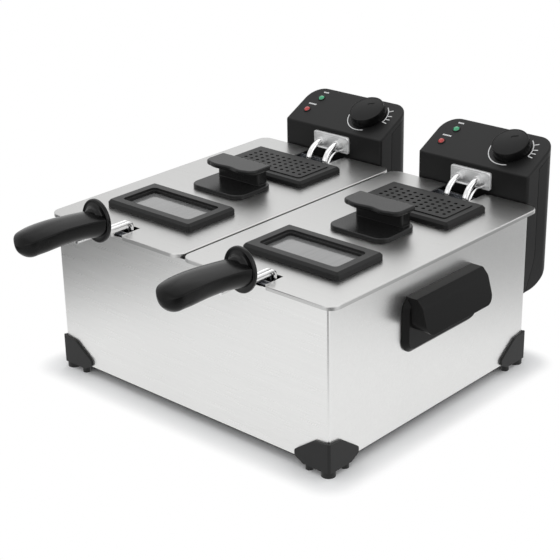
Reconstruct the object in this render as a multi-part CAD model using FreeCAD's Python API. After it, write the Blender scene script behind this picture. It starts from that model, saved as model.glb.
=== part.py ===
import FreeCAD, Part

import math
import os

from FreeCAD import Vector

# A twin deep fryer for the worktop. Sizes are in millimetres.
# X runs across the front, Y from the front to the back, Z up from the table.
# While a piece is made, Y is counted from the housing's front wall, and X from the middle of its lid
# for the pieces of one frying well. Each finished piece is then moved so that the origin lies under
# the middle of the whole fryer.

# Housing, deck and base
HOUSING_WIDTH = 410.0
HOUSING_DEPTH = 354.0
HOUSING_HEIGHT = 180.0
FLOOR_GAP = 11.5
SHEET = 1.0
HOUSING_CORNER_R = 3.0
SEAT_FLANGE = 6.0
FOOT_FLANGE = 34.0
DECK_THICKNESS = 1.5
DECK_CLEARANCE = 0.4
BASE_THICKNESS = 1.0

# Lids
LID_GAP = 3.2
LID_SIDE_OVERHANG = 8.6
LID_FRONT_OVERHANG = 4.0
LID_REAR_OVERHANG = 9.6
LID_HEIGHT = 4.5
LID_SHEET = 1.5
LID_RIM = 2.2
LID_CORNER_R = 13.0
LID_EDGE_R = 1.2
LID_HOLE_MARGIN = 17.0
LID_HOLE_R = 6.0
SLOT_WIDTH = 12.0
SLOT_MOUTH_R = 4.5
SLOT_REAR = 26.0
NOTCH_LEFT = 32.0
NOTCH_RIGHT = 23.0
NOTCH_CLEARANCE = 2.75
NOTCH_SCREW_CLEARANCE = 1.0

# Centreline of a frying well, to the right of its lid's middle
WELL_OFFSET = 9.0

# Window and filter on a lid
TRIM_SIDE_MARGIN = 39.0
TRIM_DEPTH = 76.5
TRIM_CORNER_R = 4.0
TRIM_CHAMFER = 3.0
WINDOW_FRONT = 50.5
WINDOW_HEIGHT = 9.0
WINDOW_BORDER = 12.5
WINDOW_SIGHT_R = 2.5
WINDOW_STEP = 3.0
WINDOW_STEP_DEPTH = 2.4
PANE_THICKNESS = 3.0
PANE_CLEARANCE = 0.3
PANE_LAP = 5.0
FILTER_REAR_GAP = 14.25
FILTER_HEIGHT = 8.0
FILTER_WALL = 2.2
FILTER_STEP_INSET = 10.5
FILTER_STEP_HEIGHT = 1.0
FILTER_HOLE_R = 2.3
FILTER_ROWS = 5
FILTER_COLUMNS = 11
FILTER_END_MARGIN = 20.45
FILTER_SIDE_MARGIN = 18.5
MAT_THICKNESS = 4.0
MAT_CLEARANCE = 1.0

# Handle on a lid, and its share of the free lid that lies before it
PULL_SHARE = 0.642
PULL_BASE_WIDTH = 81.0
PULL_BASE_DEPTH = 63.0
PULL_BASE_HEIGHT = 5.5
PULL_BASE_R = 14.0
PULL_BASE_EDGE_R = 1.6
PULL_POST_WIDTH = 66.0
PULL_POST_DEPTH = 17.0
PULL_POST_R = 3.0
PULL_POST_INSET = 3.0
PULL_TOP_WIDTH = 79.0
PULL_TOP_DEPTH = 35.0
PULL_TOP_THICKNESS = 6.0
PULL_TOP_R = 11.0
PULL_TOP_EDGE_R = 2.2
PULL_HEIGHT = 29.0
PULL_WAVE = 2.2

# Tank
TANK_SIDE_MARGIN = 28.0
TANK_FRONT = 8.5
TANK_REAR_GAP = 10.0
TANK_DEPTH = 146.0
TANK_WALL = 1.0
TANK_CORNER_R = 28.0
TANK_FLOOR_R = 9.0
TANK_RIM = 4.5
TANK_RIM_THICKNESS = 1.0
TANK_CLEARANCE = 0.6

# Control head
HEAD_SIDE_MARGIN = 27.5
HEAD_DEPTH = 61.0
HEAD_GAP = 12.0
HEAD_BOTTOM = 82.0
HEAD_FRONT_TOP = 227.5
PANEL_ANGLE = 27.0
HEAD_WALL = 2.5
HEAD_EDGE_R = 3.0
HEAD_TOP_R = 2.2
HEAD_REAR_R = 22.0
HEAD_LOWER_R = 48.0
SEAM_DEPTH = 22.0
SEAM_BEND_Z = 120.0
SEAM_FOOT_DEPTH = 5.0
SEAM_BEND_R = 60.0
SEAM_BELOW_PANEL = 7.0
SEAM_WIDTH = 0.5
BRACKET_WIDTH = 60.0
BRACKET_HEIGHT = 70.0
BRACKET_BOTTOM = 105.0
BRACKET_WALL = 3.0
TONGUE_WIDTH = 40.0
TONGUE_HEIGHT = 60.0
TONGUE_CLEARANCE = 0.5

# Knob, thermostat and lamps on the sloping panel, up its slope from its front edge
KNOB_SIDE = 34.0
KNOB_UP = 36.0
KNOB_R = 23.0
KNOB_HEIGHT = 12.0
KNOB_TAPER = 0.6
KNOB_EDGE_R = 1.6
KNOB_LIFT = 0.8
STEM_R = 3.0
STEM_CLEARANCE = 0.05
STEM_LENGTH = 16.0
STEM_HOLE_CLEARANCE = 0.6
THERMOSTAT_WIDTH = 34.0
THERMOSTAT_DEPTH = 28.0
THERMOSTAT_HEIGHT = 20.0
LAMP_R = 4.0
LAMP_HEIGHT = 3.0
LAMP_LENGTH = 9.0
LAMP_CLEARANCE = 0.1
GREEN_SIDE = -53.5
GREEN_UP = 47.5
RED_SIDE = -60.0
RED_UP = 23.4

# Heating element and its plate
PLATE_WIDTH = 57.0
PLATE_HEIGHT = 22.0
PLATE_THICKNESS = 2.0
PLATE_R = 3.0
PLATE_Z = 211.0
TUBE_R = 4.0
TUBE_CLEARANCE = 0.2
TUBE_SPACING = 26.0
TUBE_REACH = 31.0
TUBE_BEND_R = 24.0
TUBE_TAIL = 14.0
LOOP_SIDE_GAP = 26.0
LOOP_FRONT = 48.0
LOOP_SHOULDER = 30.0
LOOP_BEND_R = 14.0
LOOP_FLOOR_GAP = 6.5
SENSOR_R = 1.5
SENSOR_SIDE = 19.0
SENSOR_DROP = 6.5
SENSOR_BOTTOM = 96.0
PLATE_SCREW_SIDE = 24.0
PLATE_SCREW_DROP = 6.0

# Mains gland and restart button
GLAND_R = 7.0
GLAND_OUT = 6.0
GLAND_SIDE = -42.0
GLAND_Z = 158.0
GLAND_BORE_R = 3.6
RESET_R = 4.0
RESET_OUT = 2.5
RESET_SIDE = 30.0
RESET_Z = 190.0
RESET_LENGTH = 8.0
RESET_CLEARANCE = 0.15

# Basket
BASKET_SIDE_GAP = 8.0
BASKET_FRONT = 27.0
BASKET_REAR_GAP = 7.25
BASKET_FLOOR_GAP = 0.6
BASKET_HEADROOM = 13.0
BASKET_WALL = 2.4
BASKET_CORNER_R = 22.0
BASKET_RIM = 1.6
BASKET_RIM_HEIGHT = 4.0
SOCKET_WIDTH = 20.0
SOCKET_HEIGHT = 42.0
SOCKET_WALL = 2.6
SOCKET_CLEARANCE = 0.3

# Basket handle
WIRE_R = 1.8
WIRE_SPACING = 6.0
WIRE_Z = 206.0
WIRE_DROP_Y = 17.0
WIRE_BEND_R = 6.0
WIRE_IN_GRIP = 30.0
WIRE_CLEARANCE = 0.1
COLLAR_Z = 220.5
COLLAR_HALF_HEIGHT = 25.0
COLLAR_HALF_WIDTH = 21.5
COLLAR_FRONT = 33.5
COLLAR_THICKNESS = 5.5
COLLAR_EDGE_R = 1.8
GRIP_REACH = 139.0
GRIP_WIDTH = 41.0
GRIP_RIDGE_Z = 229.0
GRIP_CROWN = 5.0
GRIP_BELLY = 25.0

# Side handles
SIDE_BACK_SHIFT = 8.0
SIDE_LENGTH = 133.0
SIDE_TOP = 163.0
SIDE_BOTTOM = 97.0
SIDE_PLATE = 7.0
SIDE_CORNER_R = 16.0
SIDE_BEVEL = 5.0
HOOD_INSET = 7.0
HOOD_REACH = 31.0
HOOD_SHELF = 15.0
HOOD_BROW = 8.0
HOOD_BOTTOM = 124.0
HOOD_WALL = 4.0
HOOD_BROW_R = 9.0
HOOD_CORNER_R = 12.0

# Feet
FOOT_WALL = 3.0
FOOT_WING = 45.0
FOOT_TOP = 41.0
FOOT_BOTTOM = 6.5
FOOT_SHOULDER = 19.0
FOOT_SHOULDER_DROP = 2.5
FOOT_TIP_LIFT = 6.5
FOOT_TIP_HEIGHT = 7.0
FOOT_ROUND_R = 4.0
PAD_R = 4.6
PAD_OUT = 29.0
CORNER_PAD_R = 8.0
PAD_INSET = 6.0

# Screws
SCREW_R = 2.0
SCREW_HEAD_R = 3.6
SCREW_HEAD_HEIGHT = 1.8
SCREW_CLEARANCE = 0.2
BASE_SCREW_INSET = 20.0
SIDE_SCREW_INSET = 21.5
SIDE_SCREW_Z = 112.0
SIDE_SCREW_BITE = 5.0
PULL_SCREW_SPACING = 44.0
PULL_SCREW_BITE = 12.0

# Heights and places that follow from the sizes above
HOUSING_TOP = FLOOR_GAP + HOUSING_HEIGHT
LID_TOP = HOUSING_TOP + LID_HEIGHT
LID_UNDER = LID_TOP - LID_SHEET
LID_FRONT = -LID_FRONT_OVERHANG
LID_REAR = HOUSING_DEPTH + LID_REAR_OVERHANG
LID_WIDTH = HOUSING_WIDTH / 2 + LID_SIDE_OVERHANG - LID_GAP / 2
UNIT_X = (LID_WIDTH + LID_GAP) / 2
HEAD_FRONT = HOUSING_DEPTH + HEAD_GAP
HEAD_REAR = HEAD_FRONT + HEAD_DEPTH
HEAD_WIDTH = LID_WIDTH - 2 * HEAD_SIDE_MARGIN
TANK_WIDTH = LID_WIDTH - 2 * TANK_SIDE_MARGIN
TANK_REAR = HOUSING_DEPTH - TANK_REAR_GAP
TANK_FLOOR = HOUSING_TOP - TANK_DEPTH
LEG_Y = HEAD_FRONT - TUBE_REACH
LOOP_WIDTH = TANK_WIDTH - 2 * LOOP_SIDE_GAP
LOOP_Z = TANK_FLOOR + TANK_WALL + LOOP_FLOOR_GAP + TUBE_R
BASKET_BOTTOM = LOOP_Z + TUBE_R + BASKET_FLOOR_GAP
BASKET_TOP = LID_UNDER - BASKET_HEADROOM
BASKET_REAR = LEG_Y - TUBE_R - BASKET_REAR_GAP
BASKET_WIDTH = TANK_WIDTH - 2 * (TANK_WALL + BASKET_SIDE_GAP)
NOTCH_FRONT = LEG_Y - TUBE_R - NOTCH_CLEARANCE
TRIM_WIDTH = LID_WIDTH - 2 * TRIM_SIDE_MARGIN
WINDOW_REAR = WINDOW_FRONT + TRIM_DEPTH
FILTER_FRONT = NOTCH_FRONT - FILTER_REAR_GAP - TRIM_DEPTH
FILTER_COLUMN_PITCH = (TRIM_WIDTH - 2 * FILTER_SIDE_MARGIN) / (FILTER_COLUMNS - 1)
FILTER_ROW_PITCH = (TRIM_DEPTH - 2 * FILTER_END_MARGIN) / (FILTER_ROWS - 1)
PULL_FREE = FILTER_FRONT - WINDOW_REAR - PULL_BASE_DEPTH
PULL_FRONT = WINDOW_REAR + PULL_FREE * PULL_SHARE
PULL_REAR = PULL_FRONT + PULL_BASE_DEPTH
SIDE_CENTRE_Y = HOUSING_DEPTH / 2 + SIDE_BACK_SHIFT
HOOD_LENGTH = SIDE_LENGTH - 2 * HOOD_INSET
FRONT_WALL_Y = (GRIP_REACH - HEAD_REAR - GLAND_OUT) / 2


# Shape helpers

def box(x0, x1, y0, y1, z0, z1):
    return Part.makeBox(x1 - x0, y1 - y0, z1 - z0, Vector(x0, y0, z0))


def rod(start, end, radius):
    axis = end - start
    return Part.makeCylinder(radius, axis.Length, start, axis)


def rounded_path(points, radii, closed):
    """Straight runs through the points, with a tangent arc at each corner that has a radius."""
    count = len(points)
    entries, exits, arcs = [], [], []
    for i, (point, radius) in enumerate(zip(points, radii)):
        if radius == 0:
            entries.append(point)
            exits.append(point)
            arcs.append(None)
            continue
        back = (points[i - 1] - point).normalize()
        ahead = (points[(i + 1) % count] - point).normalize()
        half = back.getAngle(ahead) / 2
        setback = radius / math.tan(half)
        middle = (back + ahead).normalize() * (radius / math.sin(half) - radius)
        entries.append(point + back * setback)
        exits.append(point + ahead * setback)
        arcs.append(Part.Arc(entries[i], point + middle, exits[i]).toShape())
    edges = []
    for i in range(count if closed else count - 1):
        after = (i + 1) % count
        if exits[i].distanceToPoint(entries[after]) > 1e-6:
            edges.append(Part.LineSegment(exits[i], entries[after]).toShape())
        if arcs[after] is not None:
            edges.append(arcs[after])
    return Part.Wire(edges)


def plate(points, radii, thickness):
    """A flat closed outline, pushed out along the vector given."""
    return Part.Face(rounded_path(points, radii, True)).extrude(thickness)


def rounded_block(x, y0, y1, width, radius, z0, z1):
    """An upright block with rounded corners in plan."""
    x0, x1 = x - width / 2, x + width / 2
    corners = [Vector(x0, y0, z0), Vector(x1, y0, z0), Vector(x1, y1, z0), Vector(x0, y1, z0)]
    return plate(corners, [radius] * 4, Vector(0, 0, z1 - z0))


def tube(points, bend_r, radius):
    """A round bar along straight runs with bends of one radius."""
    bends = [0] + [bend_r] * (len(points) - 2) + [0]
    path = rounded_path(points, bends, False)
    ring = Part.Wire(Part.Circle(points[0], points[1] - points[0], radius).toShape())
    return path.makePipeShell([ring], True, False)


def round_edges(shape, radius, wanted):
    return shape.makeFillet(radius, [edge for edge in shape.Edges if wanted(edge)])


def bevel_edges(shape, size, wanted):
    return shape.makeChamfer(size, [edge for edge in shape.Edges if wanted(edge)])


def at_height(z):
    """Tells whether an edge lies flat at one height."""
    def wanted(edge):
        return abs(edge.BoundBox.ZMin - z) < 1e-4 and abs(edge.BoundBox.ZMax - z) < 1e-4
    return wanted


def group(solids):
    return Part.makeCompound(solids)


def screw(head_under, direction, length):
    """A pan-head screw. head_under is the middle of the face that its head clamps with."""
    axis = Vector(direction).normalize()
    head = Part.makeCylinder(SCREW_HEAD_R, SCREW_HEAD_HEIGHT, head_under - axis * SCREW_HEAD_HEIGHT, axis)
    return head.fuse(rod(head_under, head_under + axis * length, SCREW_R)).removeSplitter()


def screw_hole(head_under, direction, length):
    axis = Vector(direction).normalize()
    return rod(head_under - axis * SHEET, head_under + axis * length, SCREW_R + SCREW_CLEARANCE)


# Housing, deck and base

def foot_screw_places():
    side = HOUSING_WIDTH / 2 - BASE_SCREW_INSET
    rear = HOUSING_DEPTH - BASE_SCREW_INSET
    return [Vector(x, y, FOOT_BOTTOM) for x in (-side, side) for y in (BASE_SCREW_INSET, rear)]


def foot_screw_length():
    return FLOOR_GAP + SHEET + SCREW_R - FOOT_BOTTOM


def side_screw_places(side):
    inside = side * (HOUSING_WIDTH / 2 - SHEET)
    out = SIDE_LENGTH / 2 - SIDE_SCREW_INSET
    return [Vector(inside, SIDE_CENTRE_Y + shift, SIDE_SCREW_Z) for shift in (-out, out)]


def housing():
    width, depth = HOUSING_WIDTH, HOUSING_DEPTH
    seat_top = HOUSING_TOP - DECK_THICKNESS
    inner_r = HOUSING_CORNER_R - SHEET
    shell = rounded_block(0, 0, depth, width, HOUSING_CORNER_R, FLOOR_GAP, HOUSING_TOP)

    def hollow(inset, radius, z0, z1):
        return rounded_block(0, inset, depth - inset, width - 2 * inset, radius, z0, z1)

    shell = shell.cut([
        hollow(SHEET, inner_r, FLOOR_GAP + SHEET, seat_top - SHEET),
        hollow(SHEET, inner_r, seat_top, HOUSING_TOP),
        hollow(SHEET + SEAT_FLANGE, inner_r, seat_top - 2 * SHEET, seat_top),
        hollow(FOOT_FLANGE, inner_r, FLOOR_GAP, FLOOR_GAP + 2 * SHEET)])
    holes = [screw_hole(place, Vector(0, 0, 1), foot_screw_length()) for place in foot_screw_places()]
    for side in (-1, 1):
        holes += [screw_hole(place, Vector(side, 0, 0), SIDE_SCREW_BITE) for place in side_screw_places(side)]
    return shell.cut(holes)


def tank_block(grow, z0, z1):
    """The tank's upright outline, grown all round, about its own centreline."""
    width = TANK_WIDTH + 2 * grow
    return rounded_block(WELL_OFFSET, TANK_FRONT - grow, TANK_REAR + grow, width,
                         TANK_CORNER_R + grow, z0, z1)


def deck():
    inset = SHEET + DECK_CLEARANCE
    radius = HOUSING_CORNER_R - SHEET
    sheet = rounded_block(0, inset, HOUSING_DEPTH - inset, HOUSING_WIDTH - 2 * inset, radius,
                          HOUSING_TOP - DECK_THICKNESS, HOUSING_TOP)
    openings = []
    for x in (-UNIT_X, UNIT_X):
        opening = tank_block(TANK_CLEARANCE, HOUSING_TOP - 2 * DECK_THICKNESS, LID_TOP)
        opening.translate(Vector(x, 0, 0))
        openings.append(opening)
    return sheet.cut(openings)


def base_plate():
    bottom = FLOOR_GAP - BASE_THICKNESS
    sheet = rounded_block(0, 0, HOUSING_DEPTH, HOUSING_WIDTH, HOUSING_CORNER_R, bottom, FLOOR_GAP)
    return sheet.cut([screw_hole(place, Vector(0, 0, 1), foot_screw_length())
                      for place in foot_screw_places()])


def base_screws():
    return group([screw(place, Vector(0, 0, 1), foot_screw_length()) for place in foot_screw_places()])


def foot_wing():
    """One wing of a foot, standing along the wall that runs to -X from the corner."""
    low, high, wing = FOOT_BOTTOM, FOOT_TOP, FOOT_WING
    tip = low + FOOT_TIP_LIFT
    outline = [(FOOT_WALL, low), (FOOT_WALL, high), (-FOOT_SHOULDER, high - FOOT_SHOULDER_DROP),
               (-wing, tip + FOOT_TIP_HEIGHT), (-wing, tip), (-PAD_OUT - PAD_R, low)]
    points = [Vector(x, -FOOT_WALL, z) for x, z in outline]
    r = FOOT_ROUND_R
    return plate(points, [0, 0, r, r, r, 0], Vector(0, FOOT_WALL, 0))


def front_right_foot():
    """The foot at a corner where one wall runs to -X and the other to +Y."""
    along_front = foot_wing()
    along_side = foot_wing().mirror(Vector(0, 0, 0), Vector(1, 1, 0))
    web_top = FLOOR_GAP - BASE_THICKNESS
    reach = PAD_OUT + PAD_R
    web = plate([Vector(FOOT_WALL, -FOOT_WALL, FOOT_BOTTOM), Vector(FOOT_WALL, reach, FOOT_BOTTOM),
                 Vector(-PAD_INSET, reach, FOOT_BOTTOM), Vector(-reach, PAD_INSET, FOOT_BOTTOM),
                 Vector(-reach, -FOOT_WALL, FOOT_BOTTOM)],
                [0, 0, 0, 0, 0], Vector(0, 0, web_top - FOOT_BOTTOM))
    near = PAD_INSET - FOOT_WALL
    corner = CORNER_PAD_R - FOOT_WALL
    pads = [Part.makeCylinder(PAD_R, web_top, Vector(-PAD_OUT, near, 0)),
            Part.makeCylinder(PAD_R, web_top, Vector(-near, PAD_OUT, 0)),
            Part.makeCylinder(CORNER_PAD_R, web_top, Vector(-corner, corner, 0))]
    foot = along_front.fuse([along_side, web] + pads).removeSplitter()
    above = FOOT_TOP + SHEET
    square = box(0, 2 * FOOT_WALL, -2 * FOOT_WALL, 0, 0, above)
    return foot.cut(square.cut(rod(Vector(0, 0, 0), Vector(0, 0, above), FOOT_WALL)))


def foot(side, end):
    """side is -1 on the left and 1 on the right; end is -1 at the front and 1 at the rear."""
    piece = front_right_foot()
    if side < 0:
        piece = piece.mirror(Vector(0, 0, 0), Vector(1, 0, 0))
    if end > 0:
        piece = piece.mirror(Vector(0, 0, 0), Vector(0, 1, 0))
    piece.translate(Vector(side * HOUSING_WIDTH / 2, 0 if end < 0 else HOUSING_DEPTH, 0))
    return piece.cut([screw_hole(place, Vector(0, 0, 1), foot_screw_length())
                      for place in foot_screw_places()])


# Side handles

def side_handle(side):
    """A wall plate with a hood over it. The hood is open below for the fingers."""
    wall = HOUSING_WIDTH / 2
    y0, y1 = SIDE_CENTRE_Y - SIDE_LENGTH / 2, SIDE_CENTRE_Y + SIDE_LENGTH / 2
    corners = [Vector(wall, y0, SIDE_BOTTOM), Vector(wall, y1, SIDE_BOTTOM),
               Vector(wall, y1, SIDE_TOP), Vector(wall, y0, SIDE_TOP)]
    backing = plate(corners, [SIDE_CORNER_R] * 4, Vector(SIDE_PLATE, 0, 0))

    def outer_rim(edge):
        return abs(edge.BoundBox.XMin - wall - SIDE_PLATE) < 1e-4

    backing = bevel_edges(backing, SIDE_BEVEL, outer_rim)
    hood0, hood1 = SIDE_CENTRE_Y - HOOD_LENGTH / 2, SIDE_CENTRE_Y + HOOD_LENGTH / 2

    def hood_form(inset, bottom):
        reach = HOOD_REACH - inset
        shelf = HOOD_SHELF
        top = SIDE_TOP - inset
        brow = shelf + (reach - shelf) * HOOD_BROW / (SIDE_TOP - HOOD_BOTTOM)
        outline = [(0, top), (shelf - inset, top), (brow - inset + HOOD_BROW / 2, top - HOOD_BROW),
                   (reach, bottom), (0, bottom)]
        points = [Vector(wall + x, hood0 + inset, z) for x, z in outline]
        return plate(points, [0, HOOD_BROW / 2, HOOD_BROW_R, 0, 0],
                     Vector(0, HOOD_LENGTH - 2 * inset, 0))

    def lower_end(edge):
        box_ = edge.BoundBox
        low = abs(box_.ZMax - HOOD_BOTTOM) < 1e-4 and box_.XLength > SIDE_PLATE
        return low and box_.YLength < 1e-4

    hood = round_edges(hood_form(0, HOOD_BOTTOM), HOOD_CORNER_R, lower_end)
    pocket = hood_form(HOOD_WALL, HOOD_BOTTOM - HOOD_CORNER_R)
    pocket = pocket.cut(box(wall, wall + SIDE_PLATE, hood0, hood1, HOOD_BOTTOM - 2 * HOOD_CORNER_R, SIDE_TOP))
    handle = backing.fuse(hood).removeSplitter().cut(pocket)
    holes = [screw_hole(place, Vector(1, 0, 0), SHEET + SIDE_SCREW_BITE) for place in side_screw_places(1)]
    handle = handle.cut(holes)
    if side < 0:
        handle = handle.mirror(Vector(0, 0, 0), Vector(1, 0, 0))
    return handle


def side_handle_screws():
    screws = []
    for side in (-1, 1):
        screws += [screw(place, Vector(side, 0, 0), SHEET + SIDE_SCREW_BITE)
                   for place in side_screw_places(side)]
    return group(screws)


# Tank, basket and basket handle

def tank():
    body = tank_block(0, TANK_FLOOR, LID_UNDER)
    body = round_edges(body, TANK_FLOOR_R, at_height(TANK_FLOOR))
    rim = tank_block(TANK_RIM, HOUSING_TOP, HOUSING_TOP + TANK_RIM_THICKNESS)
    hollow = tank_block(-TANK_WALL, TANK_FLOOR + TANK_WALL, LID_TOP)
    hollow = round_edges(hollow, TANK_FLOOR_R - TANK_WALL, at_height(TANK_FLOOR + TANK_WALL))
    return body.fuse(rim).removeSplitter().cut(hollow)


def basket_block(grow, z0, z1):
    return rounded_block(WELL_OFFSET, BASKET_FRONT - grow, BASKET_REAR + grow, BASKET_WIDTH + 2 * grow,
                         BASKET_CORNER_R + grow, z0, z1)


def wire_places():
    return [WELL_OFFSET - WIRE_SPACING / 2, WELL_OFFSET + WIRE_SPACING / 2]


def basket():
    shell = basket_block(0, BASKET_BOTTOM, BASKET_TOP)
    rim = basket_block(BASKET_RIM, BASKET_TOP - BASKET_RIM_HEIGHT, BASKET_TOP)
    half = SOCKET_WIDTH / 2
    socket_front = WIRE_DROP_Y - WIRE_R - SOCKET_CLEARANCE - SOCKET_WALL
    socket = box(WELL_OFFSET - half, WELL_OFFSET + half, socket_front, BASKET_FRONT + BASKET_WALL / 2,
                 BASKET_TOP - SOCKET_HEIGHT, BASKET_TOP)
    hollow = basket_block(-BASKET_WALL, BASKET_BOTTOM + BASKET_WALL, LID_TOP)
    holes = [rod(Vector(x, WIRE_DROP_Y, BASKET_TOP - SOCKET_HEIGHT - SHEET), Vector(x, WIRE_DROP_Y, LID_TOP),
                 WIRE_R + SOCKET_CLEARANCE) for x in wire_places()]
    return shell.fuse([rim, socket]).removeSplitter().cut([hollow] + holes)


def handle_wire(x, radius):
    socket_floor = BASKET_TOP - SOCKET_HEIGHT + SOCKET_WALL
    route = [Vector(x, -COLLAR_FRONT - WIRE_IN_GRIP, WIRE_Z), Vector(x, WIRE_DROP_Y, WIRE_Z),
             Vector(x, WIRE_DROP_Y, socket_floor)]
    return tube(route, WIRE_BEND_R, radius)


def handle_wires():
    return group([handle_wire(x, WIRE_R) for x in wire_places()])


def grip_section(y, width, ridge, crown, belly):
    """Across the grip: a crowned top between two ridges, and a deep rounded belly."""
    half = width / 2
    left = Vector(WELL_OFFSET - half, y, ridge)
    right = Vector(WELL_OFFSET + half, y, ridge)
    top = Part.Arc(left, Vector(WELL_OFFSET, y, ridge + crown), right).toShape()
    under = Part.BSplineCurve()
    turns = [math.pi * step / 8 for step in range(9)]
    under.interpolate([Vector(WELL_OFFSET + half * math.cos(a), y, ridge - belly * math.sin(a) ** 0.8)
                       for a in turns])
    return Part.Wire([top, under.toShape()])


def grip_collar():
    """An upright oval plate with rounded rims, from its front face to +Y."""
    oval = Part.Ellipse(Vector(0, 0, 0), COLLAR_HALF_HEIGHT, COLLAR_HALF_WIDTH)
    sheet = Part.Face(Part.Wire(oval.toShape())).extrude(Vector(0, 0, COLLAR_THICKNESS))
    rims = [edge for edge in sheet.Edges if edge.BoundBox.ZLength < COLLAR_THICKNESS / 2]
    sheet = sheet.makeFillet(COLLAR_EDGE_R, rims)
    sheet.rotate(Vector(0, 0, 0), Vector(1, 1, 1), -120)
    return sheet


def handle_grip():
    """A bulging grip that ends in a collar, which keeps the hand off the lid."""
    back, tip = -COLLAR_FRONT, -GRIP_REACH
    length = back - tip
    # Along the grip: share of its length, share of its width, rise of its ridges, share of its belly
    stations = [(0.0, 0.98, -2.0, 0.98), (0.25, 0.98, 1.0, 0.90), (0.5, 1.0, 3.0, 0.92),
                (0.72, 1.0, 3.0, 0.94), (0.88, 0.88, 1.5, 0.88), (0.965, 0.60, -1.0, 0.66),
                (1.0, 0.20, -4.5, 0.22)]
    sections = [grip_section(back - share * length, GRIP_WIDTH * wide, GRIP_RIDGE_Z + rise,
                             GRIP_CROWN * wide, GRIP_BELLY * deep)
                for share, wide, rise, deep in stations]
    grip = Part.makeLoft(sections, True, False)
    collar = grip_collar()
    collar.translate(Vector(WELL_OFFSET, back, COLLAR_Z))
    holes = [handle_wire(x, WIRE_R + WIRE_CLEARANCE) for x in wire_places()]
    return grip.fuse(collar).cut(holes)


# Lid and what it carries

def lid_hole(front):
    """The opening under a window or a filter."""
    return rounded_block(0, front + LID_HOLE_MARGIN, front + TRIM_DEPTH - LID_HOLE_MARGIN,
                         TRIM_WIDTH - 2 * LID_HOLE_MARGIN, LID_HOLE_R, HOUSING_TOP, LID_TOP + SHEET)


def pull_screw_places():
    middle = PULL_REAR - PULL_POST_INSET - PULL_POST_DEPTH / 2
    return [Vector(shift, middle, LID_UNDER) for shift in (-PULL_SCREW_SPACING / 2, PULL_SCREW_SPACING / 2)]


def slot_mouth(z0, z1):
    """The rounded corners where the slot opens at the lid's front."""
    r = SLOT_MOUTH_R
    half = SLOT_WIDTH / 2 + r
    corner_y = LID_FRONT + r
    mouth = box(WELL_OFFSET - half, WELL_OFFSET + half, LID_FRONT - SHEET, corner_y, z0, z1)
    corners = [WELL_OFFSET - half, WELL_OFFSET + half]
    return mouth.cut([rod(Vector(x, corner_y, z0), Vector(x, corner_y, z1), r) for x in corners])


def screw_relief(place, z0, z1):
    """A bite out of the lid's rear edge, so that the lid passes the head of a plate screw."""
    reach = SCREW_HEAD_R + NOTCH_SCREW_CLEARANCE
    front = place.y - SCREW_HEAD_HEIGHT - NOTCH_SCREW_CLEARANCE
    return box(place.x - reach, place.x + reach, front, LID_REAR + SHEET, z0, z1)


def lid():
    sheet = rounded_block(0, LID_FRONT, LID_REAR, LID_WIDTH, LID_CORNER_R, HOUSING_TOP, LID_TOP)
    sheet = round_edges(sheet, LID_EDGE_R, at_height(LID_TOP))
    under = rounded_block(0, LID_FRONT + LID_RIM, LID_REAR - LID_RIM, LID_WIDTH - 2 * LID_RIM,
                          LID_CORNER_R - LID_RIM, HOUSING_TOP - SHEET, LID_UNDER)
    above = LID_TOP + SHEET
    half = SLOT_WIDTH / 2
    slot = box(WELL_OFFSET - half, WELL_OFFSET + half, LID_FRONT - SHEET, SLOT_REAR, HOUSING_TOP, above)
    slot = slot.fuse(slot_mouth(HOUSING_TOP, above)).removeSplitter()
    notch = box(WELL_OFFSET - NOTCH_LEFT, WELL_OFFSET + NOTCH_RIGHT, NOTCH_FRONT, LID_REAR + SHEET,
                HOUSING_TOP, above)
    for place in plate_screw_places():
        notch = notch.fuse(screw_relief(place, HOUSING_TOP, above)).removeSplitter()
    holes = [screw_hole(place, Vector(0, 0, 1), PULL_SCREW_BITE) for place in pull_screw_places()]
    return sheet.cut([under, slot, notch, lid_hole(WINDOW_FRONT), lid_hole(FILTER_FRONT)] + holes)


def trim_block(front, inset, radius, z0, z1):
    """The outline that the window frame and the filter cover share, drawn in all round."""
    return rounded_block(0, front + inset, front + TRIM_DEPTH - inset, TRIM_WIDTH - 2 * inset, radius, z0, z1)


def pane_inset():
    return LID_HOLE_MARGIN - PANE_LAP


def window_frame():
    top = LID_TOP + WINDOW_HEIGHT
    frame = trim_block(WINDOW_FRONT, 0, TRIM_CORNER_R, LID_TOP, top)
    frame = bevel_edges(frame, TRIM_CHAMFER, at_height(top))
    sight = trim_block(WINDOW_FRONT, WINDOW_BORDER + WINDOW_STEP, WINDOW_SIGHT_R, LID_TOP, top)
    step = trim_block(WINDOW_FRONT, WINDOW_BORDER, WINDOW_SIGHT_R + WINDOW_STEP, top - WINDOW_STEP_DEPTH, top)
    seat = trim_block(WINDOW_FRONT, pane_inset(), LID_HOLE_R, LID_TOP,
                      LID_TOP + PANE_THICKNESS + PANE_CLEARANCE)
    return frame.cut([sight, step, seat])


def window_pane():
    return trim_block(WINDOW_FRONT, pane_inset() + PANE_CLEARANCE, LID_HOLE_R, LID_TOP,
                      LID_TOP + PANE_THICKNESS)


def filter_hole_places():
    """A grid of rows and columns about the middle of the filter."""
    middle = FILTER_FRONT + TRIM_DEPTH / 2
    columns = [(i - (FILTER_COLUMNS - 1) / 2) * FILTER_COLUMN_PITCH for i in range(FILTER_COLUMNS)]
    rows = [middle + (i - (FILTER_ROWS - 1) / 2) * FILTER_ROW_PITCH for i in range(FILTER_ROWS)]
    return [Vector(x, y, LID_TOP) for y in rows for x in columns]


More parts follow.
